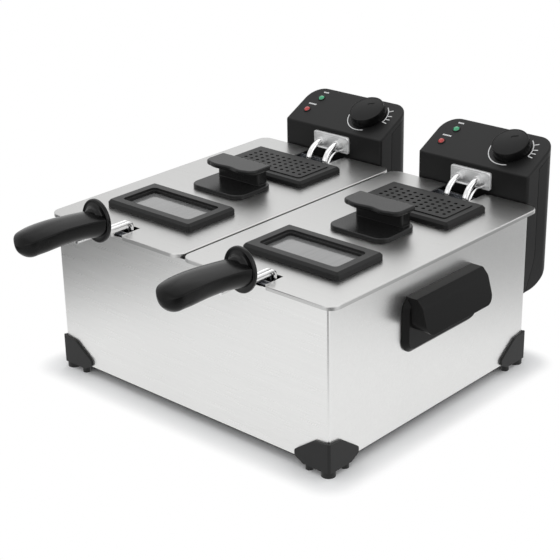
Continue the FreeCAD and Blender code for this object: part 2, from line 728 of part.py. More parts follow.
def filter_cover():
    top = LID_TOP + FILTER_HEIGHT
    cover = trim_block(FILTER_FRONT, 0, TRIM_CORNER_R, LID_TOP, top)
    cover = bevel_edges(cover, TRIM_CHAMFER, at_height(top))
    hollow = trim_block(FILTER_FRONT, FILTER_WALL, TRIM_CORNER_R - FILTER_WALL, LID_TOP, top - FILTER_WALL)
    step = trim_block(FILTER_FRONT, FILTER_STEP_INSET, TRIM_CORNER_R, top - FILTER_WALL / 2,
                      top + FILTER_STEP_HEIGHT)
    through = Vector(0, 0, FILTER_HEIGHT + 2 * FILTER_STEP_HEIGHT)
    holes = [rod(place, place + through, FILTER_HOLE_R) for place in filter_hole_places()]
    return cover.fuse(step).removeSplitter().cut([hollow] + holes)


def filter_mat():
    inset = FILTER_WALL + MAT_CLEARANCE
    return trim_block(FILTER_FRONT, inset, TRIM_CORNER_R, LID_TOP, LID_TOP + MAT_THICKNESS)


def lid_pull():
    """A base plate with a post at its rear, and a finger grip that reaches forward from the post's top."""
    base_top = LID_TOP + PULL_BASE_HEIGHT
    top = LID_TOP + PULL_HEIGHT
    base = rounded_block(0, PULL_FRONT, PULL_REAR, PULL_BASE_WIDTH, PULL_BASE_R, LID_TOP, base_top)
    base = round_edges(base, PULL_BASE_EDGE_R, at_height(base_top))
    post_rear = PULL_REAR - PULL_POST_INSET
    post_front = post_rear - PULL_POST_DEPTH
    post = rounded_block(0, post_front, post_rear, PULL_POST_WIDTH, PULL_POST_R,
                         base_top - PULL_BASE_EDGE_R, top - PULL_TOP_THICKNESS / 2)
    grip = pull_grip(post_rear - PULL_TOP_DEPTH, post_rear, top)
    pull = base.fuse([post, grip]).removeSplitter()
    return pull.cut([screw_hole(place, Vector(0, 0, 1), LID_SHEET + PULL_SCREW_BITE)
                     for place in pull_screw_places()])


def pull_grip(front, rear, top):
    """The finger grip: its front edge waves gently, with a dip between two fingers."""
    half = PULL_TOP_WIDTH / 2
    z = top - PULL_TOP_THICKNESS
    side_y = front + PULL_TOP_R
    wave = Part.BSplineCurve()
    wave.interpolate([Vector(-half + PULL_TOP_R, front, z), Vector(-half / 3, front - PULL_WAVE, z),
                      Vector(half / 8, front, z), Vector(half / 2, front - PULL_WAVE, z),
                      Vector(half - PULL_TOP_R, front, z)])
    slant = PULL_TOP_R * (1 - math.sqrt(0.5))
    left_end = Part.Arc(Vector(-half, side_y, z), Vector(-half + slant, front + slant, z),
                        Vector(-half + PULL_TOP_R, front, z)).toShape()
    right_end = Part.Arc(Vector(half - PULL_TOP_R, front, z), Vector(half - slant, front + slant, z),
                         Vector(half, side_y, z)).toShape()
    rest = rounded_path([Vector(half, side_y, z), Vector(half, rear, z), Vector(-half, rear, z),
                         Vector(-half, side_y, z)], [0, PULL_POST_R, PULL_POST_R, 0], False)
    outline = Part.Wire([left_end, wave.toShape(), right_end] + rest.Edges)
    slab = Part.Face(outline).extrude(Vector(0, 0, PULL_TOP_THICKNESS))
    slab = round_edges(slab, PULL_TOP_EDGE_R, at_height(top))
    return round_edges(slab, PULL_TOP_EDGE_R, at_height(z))


def lid_pull_screws():
    return group([screw(place, Vector(0, 0, 1), LID_SHEET + PULL_SCREW_BITE - SCREW_R)
                  for place in pull_screw_places()])


# Control head

def panel_z(y):
    """Height of the sloping panel."""
    return HEAD_FRONT_TOP + (y - HEAD_FRONT) * math.tan(math.radians(PANEL_ANGLE))


def head_form(inset):
    """The whole outside of a control head, drawn in all round by the inset."""
    x0 = WELL_OFFSET - HEAD_WIDTH / 2
    side = [(HEAD_FRONT, HEAD_BOTTOM), (HEAD_FRONT, panel_z(HEAD_FRONT)),
            (HEAD_REAR, panel_z(HEAD_REAR)), (HEAD_REAR, HEAD_BOTTOM)]
    side_wire = rounded_path([Vector(x0, y, z) for y, z in side], [HEAD_EDGE_R, 0, 0, HEAD_LOWER_R], True)
    x1 = x0 + HEAD_WIDTH
    plan = [(x0, HEAD_FRONT), (x1, HEAD_FRONT), (x1, HEAD_REAR), (x0, HEAD_REAR)]
    plan_wire = rounded_path([Vector(x, y, HEAD_BOTTOM) for x, y in plan],
                             [HEAD_EDGE_R, HEAD_EDGE_R, HEAD_REAR_R, HEAD_REAR_R], True)
    side_face, plan_face = Part.Face(side_wire), Part.Face(plan_wire)
    if inset:
        side_face = side_face.makeOffset2D(-inset)
        plan_face = plan_face.makeOffset2D(-inset)
    across = side_face.extrude(Vector(HEAD_WIDTH, 0, 0))
    upright = plan_face.extrude(Vector(0, 0, panel_z(HEAD_REAR)))
    form = across.common(upright)

    def round_panel(edge):
        ends = (edge.FirstParameter, edge.LastParameter)
        return all(abs(panel_z(edge.valueAt(end).y) - edge.valueAt(end).z) < 1e-4 for end in ends)

    if inset == 0:
        form = round_edges(form, HEAD_TOP_R, round_panel)
    return form


def behind_seam(shift):
    """Everything behind the seam between the front shell and the back cover, under the panel."""
    seam_y = HEAD_FRONT + SEAM_DEPTH + shift
    foot_y = HEAD_FRONT + SEAM_FOOT_DEPTH + shift
    far = HEAD_REAR + HEAD_DEPTH
    x0 = WELL_OFFSET - HEAD_WIDTH
    drop = SEAM_BELOW_PANEL + shift
    low = 2 * HEAD_BOTTOM - SEAM_BEND_Z
    outline = [(seam_y, panel_z(seam_y) - drop), (seam_y, SEAM_BEND_Z), (foot_y, HEAD_BOTTOM),
               (foot_y, low), (far, low), (far, panel_z(far) - drop)]
    return plate([Vector(x0, y, z) for y, z in outline], [0, SEAM_BEND_R, 0, 0, 0, 0],
                 Vector(2 * HEAD_WIDTH, 0, 0))


def on_panel(shape):
    """Takes a shape from the panel's own axes: X across, Y up its slope, Z out of it."""
    shape.rotate(Vector(0, 0, 0), Vector(1, 0, 0), PANEL_ANGLE)
    shape.translate(Vector(WELL_OFFSET, HEAD_FRONT, HEAD_FRONT_TOP))
    return shape


def upright_rod(side, up, z0, z1, radius):
    return rod(Vector(side, up, z0), Vector(side, up, z1), radius)


def tube_places():
    return [WELL_OFFSET - TUBE_SPACING / 2, WELL_OFFSET + TUBE_SPACING / 2]


def front_holes(clearance):
    """Where the heater's and the sensor's tubes go through the plate and the head's front wall."""
    far = HEAD_FRONT + TUBE_TAIL
    near = HEAD_FRONT - TUBE_REACH
    sensor_x = WELL_OFFSET + SENSOR_SIDE
    sensor_z = PLATE_Z - SENSOR_DROP
    holes = [rod(Vector(x, near, PLATE_Z), Vector(x, far, PLATE_Z), TUBE_R + clearance)
             for x in tube_places()]
    holes.append(rod(Vector(sensor_x, near, sensor_z), Vector(sensor_x, far, sensor_z), SENSOR_R + clearance))
    return holes


def plate_screw_places():
    return [Vector(WELL_OFFSET + PLATE_SCREW_SIDE * side, HEAD_FRONT - PLATE_THICKNESS,
                   PLATE_Z + PLATE_SCREW_DROP * side) for side in (-1, 1)]


def plate_screw_holes():
    return [screw_hole(place, Vector(0, 1, 0), PLATE_THICKNESS + HEAD_WALL + SHEET)
            for place in plate_screw_places()]


def head_walls():
    return head_form(0).cut(head_form(HEAD_WALL))


def tongue():
    """The rib on the head's front that drops into the bracket on the housing."""
    half = TONGUE_WIDTH / 2
    floor = BRACKET_BOTTOM + BRACKET_WALL
    return box(WELL_OFFSET - half, WELL_OFFSET + half, HOUSING_DEPTH + BRACKET_WALL + TONGUE_CLEARANCE,
               HEAD_FRONT + HEAD_WALL / 2, floor, floor + TONGUE_HEIGHT)


def head_shell():
    shell = head_walls().cut(behind_seam(0)).fuse(tongue()).removeSplitter()
    below = -2 * HEAD_WALL
    above = HEAD_WALL
    panel_holes = group([
        upright_rod(KNOB_SIDE, KNOB_UP, below, above, STEM_R + STEM_HOLE_CLEARANCE),
        upright_rod(GREEN_SIDE, GREEN_UP, below, above, LAMP_R + LAMP_CLEARANCE),
        upright_rod(RED_SIDE, RED_UP, below, above, LAMP_R + LAMP_CLEARANCE)])
    return shell.cut(on_panel(panel_holes).Solids + front_holes(TUBE_CLEARANCE) + plate_screw_holes())


def gland_rod(radius, y0, y1):
    x = WELL_OFFSET + GLAND_SIDE
    return rod(Vector(x, y0, GLAND_Z), Vector(x, y1, GLAND_Z), radius)


def reset_rod(radius, y0, y1):
    x = WELL_OFFSET + RESET_SIDE
    return rod(Vector(x, y0, RESET_Z), Vector(x, y1, RESET_Z), radius)


def head_back_cover():
    inside = HEAD_REAR - 2 * HEAD_WALL
    cover = head_walls().common(behind_seam(SEAM_WIDTH))
    return cover.cut([gland_rod(GLAND_R, inside, HEAD_REAR),
                      reset_rod(RESET_R + RESET_CLEARANCE, inside, HEAD_REAR)])


def cord_gland():
    inside = HEAD_REAR - HEAD_WALL
    body = gland_rod(GLAND_R, inside, HEAD_REAR + GLAND_OUT)
    rim = lambda edge: abs(edge.BoundBox.YMin - HEAD_REAR - GLAND_OUT) < 1e-4
    body = bevel_edges(body, GLAND_OUT / 3, rim)
    return body.cut(gland_rod(GLAND_BORE_R, inside, HEAD_REAR + GLAND_OUT))


def reset_button():
    face = HEAD_REAR + RESET_OUT
    body = reset_rod(RESET_R, face - RESET_LENGTH, face)
    return round_edges(body, RESET_OUT / 3, lambda edge: abs(edge.BoundBox.YMin - face) < 1e-4)


def knob():
    top = KNOB_LIFT + KNOB_HEIGHT
    foot_z = -(HEAD_WALL + STEM_LENGTH)
    cap = Part.makeCone(KNOB_R, KNOB_R - KNOB_TAPER, KNOB_HEIGHT, Vector(KNOB_SIDE, KNOB_UP, KNOB_LIFT))
    cap = round_edges(cap, KNOB_EDGE_R, at_height(top))
    stem = upright_rod(KNOB_SIDE, KNOB_UP, foot_z, KNOB_LIFT, STEM_R)
    return on_panel(cap.fuse(stem).removeSplitter())


def thermostat():
    half, deep = THERMOSTAT_WIDTH / 2, THERMOSTAT_DEPTH / 2
    top = -HEAD_WALL
    body = box(KNOB_SIDE - half, KNOB_SIDE + half, KNOB_UP - deep, KNOB_UP + deep,
               top - THERMOSTAT_HEIGHT, top)
    bore = upright_rod(KNOB_SIDE, KNOB_UP, top - STEM_LENGTH - STEM_R / 3, top, STEM_R + STEM_CLEARANCE)
    return on_panel(body.cut(bore))


def lamp(side, up):
    """A round lens: a straight barrel through the panel under a low dome."""
    dome_r = (LAMP_R ** 2 + LAMP_HEIGHT ** 2) / (2 * LAMP_HEIGHT)
    barrel = upright_rod(side, up, -LAMP_LENGTH, LAMP_HEIGHT, LAMP_R)
    ball = Part.makeSphere(dome_r, Vector(side, up, LAMP_HEIGHT - dome_r))
    column = upright_rod(side, up, 0, LAMP_HEIGHT, LAMP_R)
    body = barrel.cut(column).fuse(column.common(ball)).removeSplitter()
    return on_panel(body)


def element_plate():
    half, tall = PLATE_WIDTH / 2, PLATE_HEIGHT / 2
    y = HEAD_FRONT - PLATE_THICKNESS
    corners = [Vector(WELL_OFFSET + x, y, PLATE_Z + z)
               for x, z in ((-half, -tall), (half, -tall), (half, tall), (-half, tall))]
    sheet = plate(corners, [PLATE_R] * 4, Vector(0, PLATE_THICKNESS, 0))
    return sheet.cut(front_holes(TUBE_CLEARANCE) + plate_screw_holes())


def element_screws():
    return group([screw(place, Vector(0, 1, 0), PLATE_THICKNESS + HEAD_WALL)
                  for place in plate_screw_places()])


def heating_element():
    """One bent tube: out of the head, down the back of the tank, round its floor and up again."""
    left, right = tube_places()
    wide_left, wide_right = WELL_OFFSET - LOOP_WIDTH / 2, WELL_OFFSET + LOOP_WIDTH / 2
    shoulder = LEG_Y - LOOP_SHOULDER
    tail = HEAD_FRONT + TUBE_TAIL
    route = [(left, tail, PLATE_Z), (left, LEG_Y, PLATE_Z), (left, LEG_Y, LOOP_Z), (left, shoulder, LOOP_Z),
             (wide_left, shoulder, LOOP_Z), (wide_left, LOOP_FRONT, LOOP_Z), (wide_right, LOOP_FRONT, LOOP_Z),
             (wide_right, shoulder, LOOP_Z), (right, shoulder, LOOP_Z), (right, LEG_Y, LOOP_Z),
             (right, LEG_Y, PLATE_Z), (right, tail, PLATE_Z)]
    points = [Vector(*place) for place in route]
    bend = LOOP_BEND_R
    bends = [0, TUBE_BEND_R, bend, bend, bend, bend, bend, bend, bend, bend, TUBE_BEND_R, 0]
    path = rounded_path(points, bends, False)
    ring = Part.Wire(Part.Circle(points[0], points[1] - points[0], TUBE_R).toShape())
    return path.makePipeShell([ring], True, False)


def sensor_tube():
    x = WELL_OFFSET + SENSOR_SIDE
    z = PLATE_Z - SENSOR_DROP
    route = [Vector(x, HEAD_FRONT + TUBE_TAIL, z), Vector(x, LEG_Y, z), Vector(x, LEG_Y, SENSOR_BOTTOM)]
    return tube(route, TUBE_BEND_R - SENSOR_DROP, SENSOR_R)


def head_bracket(x):
    """An open-topped pocket on the rear wall, which carries a control head by its tongue."""
    half = BRACKET_WIDTH / 2
    y0 = HOUSING_DEPTH
    y1 = HEAD_FRONT - TONGUE_CLEARANCE
    top = BRACKET_BOTTOM + BRACKET_HEIGHT
    pocket_half = TONGUE_WIDTH / 2 + TONGUE_CLEARANCE
    body = box(WELL_OFFSET - half, WELL_OFFSET + half, y0, y1, BRACKET_BOTTOM, top)
    pocket = box(WELL_OFFSET - pocket_half, WELL_OFFSET + pocket_half, y0 + BRACKET_WALL, HEAD_FRONT,
                 BRACKET_BOTTOM + BRACKET_WALL, top + SHEET)
    body = body.cut(pocket)
    body.translate(Vector(x, 0, 0))
    return body


# Writing the pieces

def save(name, shape, x=0.0):
    piece = shape.copy()
    piece.translate(Vector(x, FRONT_WALL_Y, 0))
    piece.exportStep(os.path.join("parts", name + ".step"))


def save_stand():
    save("housing", housing())
    save("deck", deck())
    save("base_plate", base_plate())
    save("base_screws", base_screws())
    save("side_handle_left", side_handle(-1))
    save("side_handle_right", side_handle(1))
    save("side_handle_screws", side_handle_screws())
    save("head_brackets", group([head_bracket(-UNIT_X), head_bracket(UNIT_X)]))
    for end_name, end in (("front", -1), ("rear", 1)):
        for side_name, side in (("left", -1), ("right", 1)):
            save("foot_" + end_name + "_" + side_name, foot(side, end))


def save_units():
    pieces = {
        "tank": tank(), "basket": basket(), "handle_grip": handle_grip(), "handle_wires": handle_wires(),
        "lid": lid(), "window_frame": window_frame(), "window_pane": window_pane(), "lid_pull": lid_pull(),
        "lid_pull_screws": lid_pull_screws(), "filter_cover": filter_cover(), "filter_mat": filter_mat(),
        "head_shell": head_shell(), "head_back_cover": head_back_cover(), "knob": knob(),
        "thermostat": thermostat(), "lamp_green": lamp(GREEN_SIDE, GREEN_UP),
        "lamp_red": lamp(RED_SIDE, RED_UP), "element_plate": element_plate(),
        "element_screws": element_screws(), "heating_element": heating_element(),
        "sensor_tube": sensor_tube(), "cord_gland": cord_gland(), "reset_button": reset_button()}
    for side, x in (("left", -UNIT_X), ("right", UNIT_X)):
        for name, shape in pieces.items():
            save(side + "_" + name, shape, x)


os.makedirs("parts", exist_ok=True)
save_stand()
save_units()
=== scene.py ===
import math

import bmesh
import bpy
from bpy.props import FloatProperty, FloatVectorProperty, IntProperty, PointerProperty
from mathutils import Matrix, Vector


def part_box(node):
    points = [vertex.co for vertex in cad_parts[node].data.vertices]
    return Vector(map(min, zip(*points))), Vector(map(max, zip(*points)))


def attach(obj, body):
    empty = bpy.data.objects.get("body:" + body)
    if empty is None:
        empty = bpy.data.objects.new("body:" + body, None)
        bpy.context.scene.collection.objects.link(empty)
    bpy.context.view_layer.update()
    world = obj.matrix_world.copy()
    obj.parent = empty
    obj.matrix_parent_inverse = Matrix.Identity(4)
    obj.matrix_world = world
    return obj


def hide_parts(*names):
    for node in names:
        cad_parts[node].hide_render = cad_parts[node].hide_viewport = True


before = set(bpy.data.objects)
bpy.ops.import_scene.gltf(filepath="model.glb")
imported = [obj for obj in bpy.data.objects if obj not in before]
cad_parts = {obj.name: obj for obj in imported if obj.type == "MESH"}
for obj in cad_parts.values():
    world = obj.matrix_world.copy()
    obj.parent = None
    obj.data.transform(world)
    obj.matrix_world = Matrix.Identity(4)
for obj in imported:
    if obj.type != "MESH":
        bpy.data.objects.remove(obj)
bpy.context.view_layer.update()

bl_info = {
    "name": "Twin deep fryer",
    "version": (1, 0, 0),
    "blender": (4, 5, 0),
    "location": "3D View > Sidebar > Fryer",
    "description": "Finishes the twin deep fryer on its CAD frame and sets up the studio",
    "category": "Object",
}

SIDES = ("left", "right")
MM = 0.001
MERGE = 2e-6


# Sizes and settings

class FryerSizes(bpy.types.PropertyGroup):
    """Sizes of the forms that the frame leaves to the visual model."""
    edge: FloatProperty(name="Edge", description="Rounding of a moulded edge", default=0.0009,
                        unit="LENGTH", subtype="DISTANCE")
    fine_edge: FloatProperty(name="Fine edge", description="Rounding of a crisp moulded edge",
                             default=0.0005, unit="LENGTH", subtype="DISTANCE")
    wire_radius: FloatProperty(name="Basket wire", description="Radius of a basket's mesh wire",
                               default=0.0006, unit="LENGTH", subtype="DISTANCE")
    wire_pitch: FloatProperty(name="Basket mesh", description="Distance between a basket's wires",
                              default=0.0075, unit="LENGTH", subtype="DISTANCE")
    rim_radius: FloatProperty(name="Basket rim", description="Radius of a basket's rim wire",
                              default=0.0018, unit="LENGTH", subtype="DISTANCE")
    panel_top: FloatProperty(name="Panel front", description="Height of a control panel's front edge",
                             default=0.2275, unit="LENGTH", subtype="DISTANCE")
    panel_angle: FloatProperty(name="Panel slope", description="Slope of a control panel",
                               default=math.radians(27), unit="ROTATION", subtype="ANGLE")
    print_lift: FloatProperty(name="Print", description="Height of the print above its panel",
                              default=0.00008, unit="LENGTH", subtype="DISTANCE", precision=5)
    tick_length: FloatProperty(name="Tick", description="Length of a tick on a dial", default=0.0062,
                               unit="LENGTH", subtype="DISTANCE")
    tick_width: FloatProperty(name="Tick width", description="Width of a tick on a dial", default=0.0013,
                              unit="LENGTH", subtype="DISTANCE")
    rounds: IntProperty(name="Steps", description="Steps in a turned form", default=64, min=12)


class FryerStudio(bpy.types.PropertyGroup):
    """Camera and lamps of the studio."""
    azimuth: FloatProperty(name="Azimuth", description="Camera's turn to the right of the front",
                           default=math.radians(42.46), unit="ROTATION", subtype="ANGLE")
    elevation: FloatProperty(name="Elevation", description="Camera's height angle",
                             default=math.radians(23.16), unit="ROTATION", subtype="ANGLE")
    roll: FloatProperty(name="Roll", description="Camera's roll", default=math.radians(-1.09),
                        unit="ROTATION", subtype="ANGLE")
    distance: FloatProperty(name="Distance", description="From the camera to what it looks at",
                            default=1.70568, unit="LENGTH", subtype="DISTANCE")
    target: FloatVectorProperty(name="Target", description="What the camera looks at",
                                default=(0.00438, 0.00306, 0.1189), unit="LENGTH", subtype="XYZ")
    lens: FloatProperty(name="Lens", description="Focal length on a 36 mm sensor", default=94.99,
                        unit="CAMERA")
    key: FloatProperty(name="Key", description="Power of the overhead lamp", default=5.0, unit="POWER")
    side: FloatProperty(name="Side", description="Power of the lamp on the right", default=5.0, unit="POWER")
    front: FloatProperty(name="Front", description="Power of the lamp before the front", default=4.0,
                         unit="POWER")
    rim: FloatProperty(name="Rim", description="Power of the lamp behind", default=2.2, unit="POWER")
    world: FloatProperty(name="Surroundings", description="Brightness of the surroundings", default=0.86)


# Node trees

class Graph:
    """A node tree in the making."""

    def __init__(self, tree):
        self.tree = tree

    def node(self, kind, settings=None, values=None, out=0):
        """Adds a node, sets it up, feeds its inputs and gives one of its outputs."""
        made = self.tree.nodes.new(kind)
        for key, value in (settings or {}).items():
            setattr(made, key, value)
        for key, value in (values or {}).items():
            if isinstance(value, Value):
                self.tree.links.new(value.socket, made.inputs[key])
            else:
                made.inputs[key].default_value = value
        return Value(self, made.outputs[out]) if made.outputs else None


class Value:
    """An output socket that takes part in arithmetic."""

    def __init__(self, graph, socket):
        self.graph = graph
        self.socket = socket

    def maths(self, operation, first, second, clamp=False):
        return self.graph.node("ShaderNodeMath", {"operation": operation, "use_clamp": clamp},
                               {0: first, 1: second})

    def __add__(self, other):
        return self.maths("ADD", self, other)

    def __radd__(self, other):
        return self.maths("ADD", other, self)

    def __sub__(self, other):
        return self.maths("SUBTRACT", self, other)

    def __rsub__(self, other):
        return self.maths("SUBTRACT", other, self)

    def __mul__(self, other):
        return self.maths("MULTIPLY", self, other)

    def __rmul__(self, other):
        return self.maths("MULTIPLY", other, self)

    def __truediv__(self, other):
        return self.maths("DIVIDE", self, other)

    def __rtruediv__(self, other):
        return self.maths("DIVIDE", other, self)

    def clamped(self):
        return self.maths("ADD", self, 0.0, True)

    def size(self):
        return self.maths("ABSOLUTE", self, 0.0)

    def at_least(self, least):
        return self.maths("MAXIMUM", self, least)

    def output(self, name):
        """Another output of the same node."""
        return Value(self.graph, self.socket.node.outputs[name])


def linear(grey):
    """A display grey as scene light."""
    return ((grey + 0.055) / 1.055) ** 2.4


def rgb(red, green, blue):
    """A display colour as scene light."""
    return (linear(red), linear(green), linear(blue), 1.0)


def even(grey):
    """A display grey as a colour."""
    return rgb(grey, grey, grey)


class Paint(Graph):
    """A procedural material in the making, in the object's own coordinates."""

    def __init__(self, name):
        self.material = bpy.data.materials.new(name)
        self.material.use_nodes = True
        super().__init__(self.material.node_tree)
        self.tree.nodes.clear()
        self.place = self.node("ShaderNodeTexCoord").output("Object")

    def noise(self, scale, stretch=(1.0, 1.0, 1.0), detail=2.0, roughness=0.5):
        """Noise about 0.5, drawn out along the axes whose stretch is small."""
        where = self.node("ShaderNodeVectorMath", {"operation": "MULTIPLY"}, {0: self.place, 1: stretch})
        return self.node("ShaderNodeTexNoise", None,
                         {"Vector": where, "Scale": scale, "Detail": detail, "Roughness": roughness})

    def mix(self, share, first, second):
        return self.node("ShaderNodeMix", {"data_type": "RGBA"}, {0: share, 6: first, 7: second}, 2)

    def axis(self, name):
        return self.node("ShaderNodeSeparateXYZ", None, {0: self.place}).output(name)

    def ramp(self, value, low, high):
        """0 at low, 1 at high, smooth between."""
        return self.node("ShaderNodeMapRange", {"interpolation_type": "SMOOTHSTEP"},
                         {0: value, 1: low, 2: high})

    def bump(self, height, strength, distance):
        return self.node("ShaderNodeBump", None,
                         {"Strength": strength, "Distance": distance, "Height": height})

    def done(self, **values):
        """Ends the tree in one Principled surface."""
        named = {key.replace("_", " "): value for key, value in values.items()}
        surface = self.node("ShaderNodeBsdfPrincipled", None, named)
        self.node("ShaderNodeOutputMaterial", None, {"Surface": surface})
        return self.material


def brushed_steel(name, dark, light, grain, rough):
    """Sheet steel with a fine grain drawn along one axis."""
    paint = Paint(name)
    stretch = tuple(0.012 if axis == grain else 1.0 for axis in "XYZ")
    fine = paint.noise(1500.0, stretch, 3.0)
    broad = paint.noise(260.0, stretch, 2.0)
    cloud = paint.noise(6.0)
    share = (fine * 0.35 + broad * 0.35 + cloud * 0.3).clamped()
    colour = paint.mix(share, rgb(dark, dark, dark * 0.995), rgb(light, light, light * 0.995))
    return paint.done(Base_Color=colour, Metallic=1.0, Roughness=rough + (fine - 0.5) * 0.16,
                      Normal=paint.bump(fine * 0.6 + broad * 0.4, 0.10, 0.0002))


def moulded(name, grey, rough, grain=900.0, depth=0.10, shine=0.25):
    """Moulded plastic with a fine grain and a slightly uneven tone."""
    paint = Paint(name)
    skin = paint.noise(grain, detail=3.0)
    cloud = paint.noise(28.0)
    uneven = (skin * 0.4 + cloud * 0.6).clamped()
    colour = paint.mix(uneven, even(grey * 0.93), even(grey * 1.07))
    return paint.done(Base_Color=colour, Roughness=rough + (cloud - 0.5) * 0.08,
                      Specular_IOR_Level=shine, Normal=paint.bump(skin, depth, 0.0001))


def polished(name, dark, light, rough, metal=1.0):
    """Bright bar or pressed steel with faint drawing marks."""
    paint = Paint(name)
    marks = paint.noise(420.0, (1.0, 0.2, 1.0), 2.0)
    cloud = paint.noise(40.0)
    colour = paint.mix((marks * 0.5 + cloud * 0.5).clamped(), even(dark), even(light))
    return paint.done(Base_Color=colour, Metallic=metal, Roughness=rough + (marks - 0.5) * 0.08,
                      Normal=paint.bump(marks, 0.03, 0.0001))


def enamel(name):
    """Grey tank enamel with fine speckles."""
    paint = Paint(name)
    speck = paint.ramp(paint.noise(1400.0, detail=0.0), 0.62, 0.70)
    cloud = paint.noise(15.0)
    base = paint.mix(cloud, rgb(0.30, 0.31, 0.33), rgb(0.36, 0.37, 0.39))
    colour = paint.mix(speck, base, rgb(0.72, 0.73, 0.75))
    return paint.done(Base_Color=colour, Roughness=0.28 + speck * 0.1, Coat_Weight=0.4)


def pane_glass(name):
    """A window pane, misted from inside, with faint wipe marks."""
    paint = Paint(name)
    wipe = paint.noise(240.0, (1.0, 0.05, 1.0), 2.0)
    cloud = paint.noise(12.0)
    colour = paint.mix((wipe * 0.4 + cloud * 0.6).clamped(), even(0.40), even(0.58))
    return paint.done(Base_Color=colour, Metallic=0.35, Roughness=0.16 + (wipe - 0.5) * 0.1,
                      Coat_Weight=0.6, Coat_Roughness=0.03)


def lamp_lens(name, low, high):
    """A coloured lens with an uneven glow."""
    paint = Paint(name)
    patch = paint.noise(320.0, detail=1.0)
    colour = paint.mix(patch, rgb(*low), rgb(*high))
    return paint.done(Base_Color=colour, Roughness=0.14 + patch * 0.05, Coat_Weight=0.8,
                      Emission_Color=colour, Emission_Strength=0.25)


def print_white(name):
    """Screen-printed white, a little worn."""
    paint = Paint(name)
    wear = paint.noise(1600.0, detail=2.0)
    colour = paint.mix(wear, even(0.78), even(0.92))
    return paint.done(Base_Color=colour, Roughness=0.5 + (wear - 0.5) * 0.1)


def fibre(name):
    """The felted filter mat."""
    paint = Paint(name)
    hair = paint.noise(2200.0, (1.0, 0.2, 1.0), 4.0, 0.7)
    colour = paint.mix(hair, rgb(0.10, 0.10, 0.10), rgb(0.24, 0.24, 0.23))
    return paint.done(Base_Color=colour, Roughness=0.95, Normal=paint.bump(hair, 0.4, 0.0006))


MAKERS = {
    "housing_steel": lambda name: brushed_steel(name, 0.87, 0.93, "X", 0.30),
    "lid_steel": lambda name: brushed_steel(name, 0.745, 0.795, "X", 0.31),
    "window_black": lambda name: moulded(name, 0.13, 0.36, shine=0.20),
    "filter_black": lambda name: moulded(name, 0.09, 0.42, shine=0.20),
    "pull_black": lambda name: moulded(name, 0.10, 0.24, shine=0.24),
    "head_black": lambda name: moulded(name, 0.09, 0.42, 1100.0, 0.08, 0.20),
    "cover_black": lambda name: moulded(name, 0.07, 0.45, 1100.0, 0.08, 0.18),
    "gloss_black": lambda name: moulded(name, 0.04, 0.17, 600.0, 0.02),
    "grip_black": lambda name: moulded(name, 0.06, 0.24, 700.0, 0.03, 0.13),
    "soft_black": lambda name: moulded(name, 0.06, 0.55),
    "foot_black": lambda name: moulded(name, 0.11, 0.46),
    "handle_black": lambda name: moulded(name, 0.05, 0.34, 900.0, 0.08, 0.14),
    "deck_black": lambda name: moulded(name, 0.02, 0.60, 900.0, 0.08, 0.1),
    "base_grey": lambda name: moulded(name, 0.12, 0.60, 500.0, 0.08, 0.1),
    "knob_side": lambda name: moulded(name, 0.03, 0.30, 900.0, 0.04, 0.2),
    "knob_face": lambda name: moulded(name, 0.12, 0.42, shine=0.12),
    "ceramic": lambda name: moulded(name, 0.85, 0.50, 700.0, 0.06),
    "bright_wire": lambda name: polished(name, 0.88, 0.96, 0.10),
    "mesh_wire": lambda name: polished(name, 0.74, 0.86, 0.24),
    "element_steel": lambda name: polished(name, 0.86, 0.95, 0.16),
    "plate_steel": lambda name: polished(name, 0.84, 0.94, 0.40, 0.55),
    "tank_enamel": enamel,
    "pane_glass": pane_glass,
    "lamp_green": lambda name: lamp_lens(name, (0.02, 0.40, 0.24), (0.14, 0.66, 0.46)),
    "lamp_red": lambda name: lamp_lens(name, (0.46, 0.02, 0.02), (0.80, 0.10, 0.08)),
    "print_white": print_white,
    "mat_fibre": fibre,
}


def material(name):
    """A finish by its name, made when it is first asked for."""
    found = bpy.data.materials.get("fryer_" + name)
    return found or MAKERS[name]("fryer_" + name)


# Mesh helpers

def mesh_of(name, build, smooth=35.0):
    """A mesh made by a function that fills a bmesh, smooth except at edges sharper than an angle."""
    made = bmesh.new()
    build(made)
    bmesh.ops.recalc_face_normals(made, faces=made.faces)
    mesh = bpy.data.meshes.new(name)
    made.to_mesh(mesh)
    made.free()
    mesh.shade_smooth()
    mesh.set_sharp_from_angle(angle=math.radians(smooth))
    return mesh


def piece(name, mesh, body, paint, nodes=()):
    """Adds a finished mesh to the fryer, riding on a body, and in place of the nodes given."""
    made = bpy.data.objects.new(name, mesh)
    bpy.context.scene.collection.objects.link(made)
    if not mesh.materials:
        mesh.materials.append(material(paint))
    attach(made, body)
    if nodes:
        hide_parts(*nodes)


def paint_node(node, paint):
    """Gives a CAD node a procedural material."""
    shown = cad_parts[node]
    shown.data.materials.clear()
    shown.data.materials.append(material(paint))


def bake(holder, mesh_name):
    """The mesh of an object with its modifiers in it; the object itself goes."""
    graph = bpy.context.evaluated_depsgraph_get()
    mesh = bpy.data.meshes.new_from_object(holder.evaluated_get(graph))
    mesh.name = mesh_name
    holder.modifiers.clear()
    bpy.data.objects.remove(holder)
    return mesh


def softened(mesh, width, angle=30.0, segments=3):
    """The same form with every sharp edge rounded and its flat faces kept flat."""
    holder = bpy.data.objects.new("softening", mesh)
    bpy.context.scene.collection.objects.link(holder)
    bevel = holder.modifiers.new("round", "BEVEL")
    bevel.width = width
    bevel.segments = segments
    bevel.limit_method = "ANGLE"
    bevel.angle_limit = math.radians(angle)
    bevel.use_clamp_overlap = True
    bevel.miter_outer = "MITER_ARC"
    normals = holder.modifiers.new("flat", "WEIGHTED_NORMAL")
    normals.keep_sharp = False
    normals.weight = 80
    return bake(holder, mesh.name)


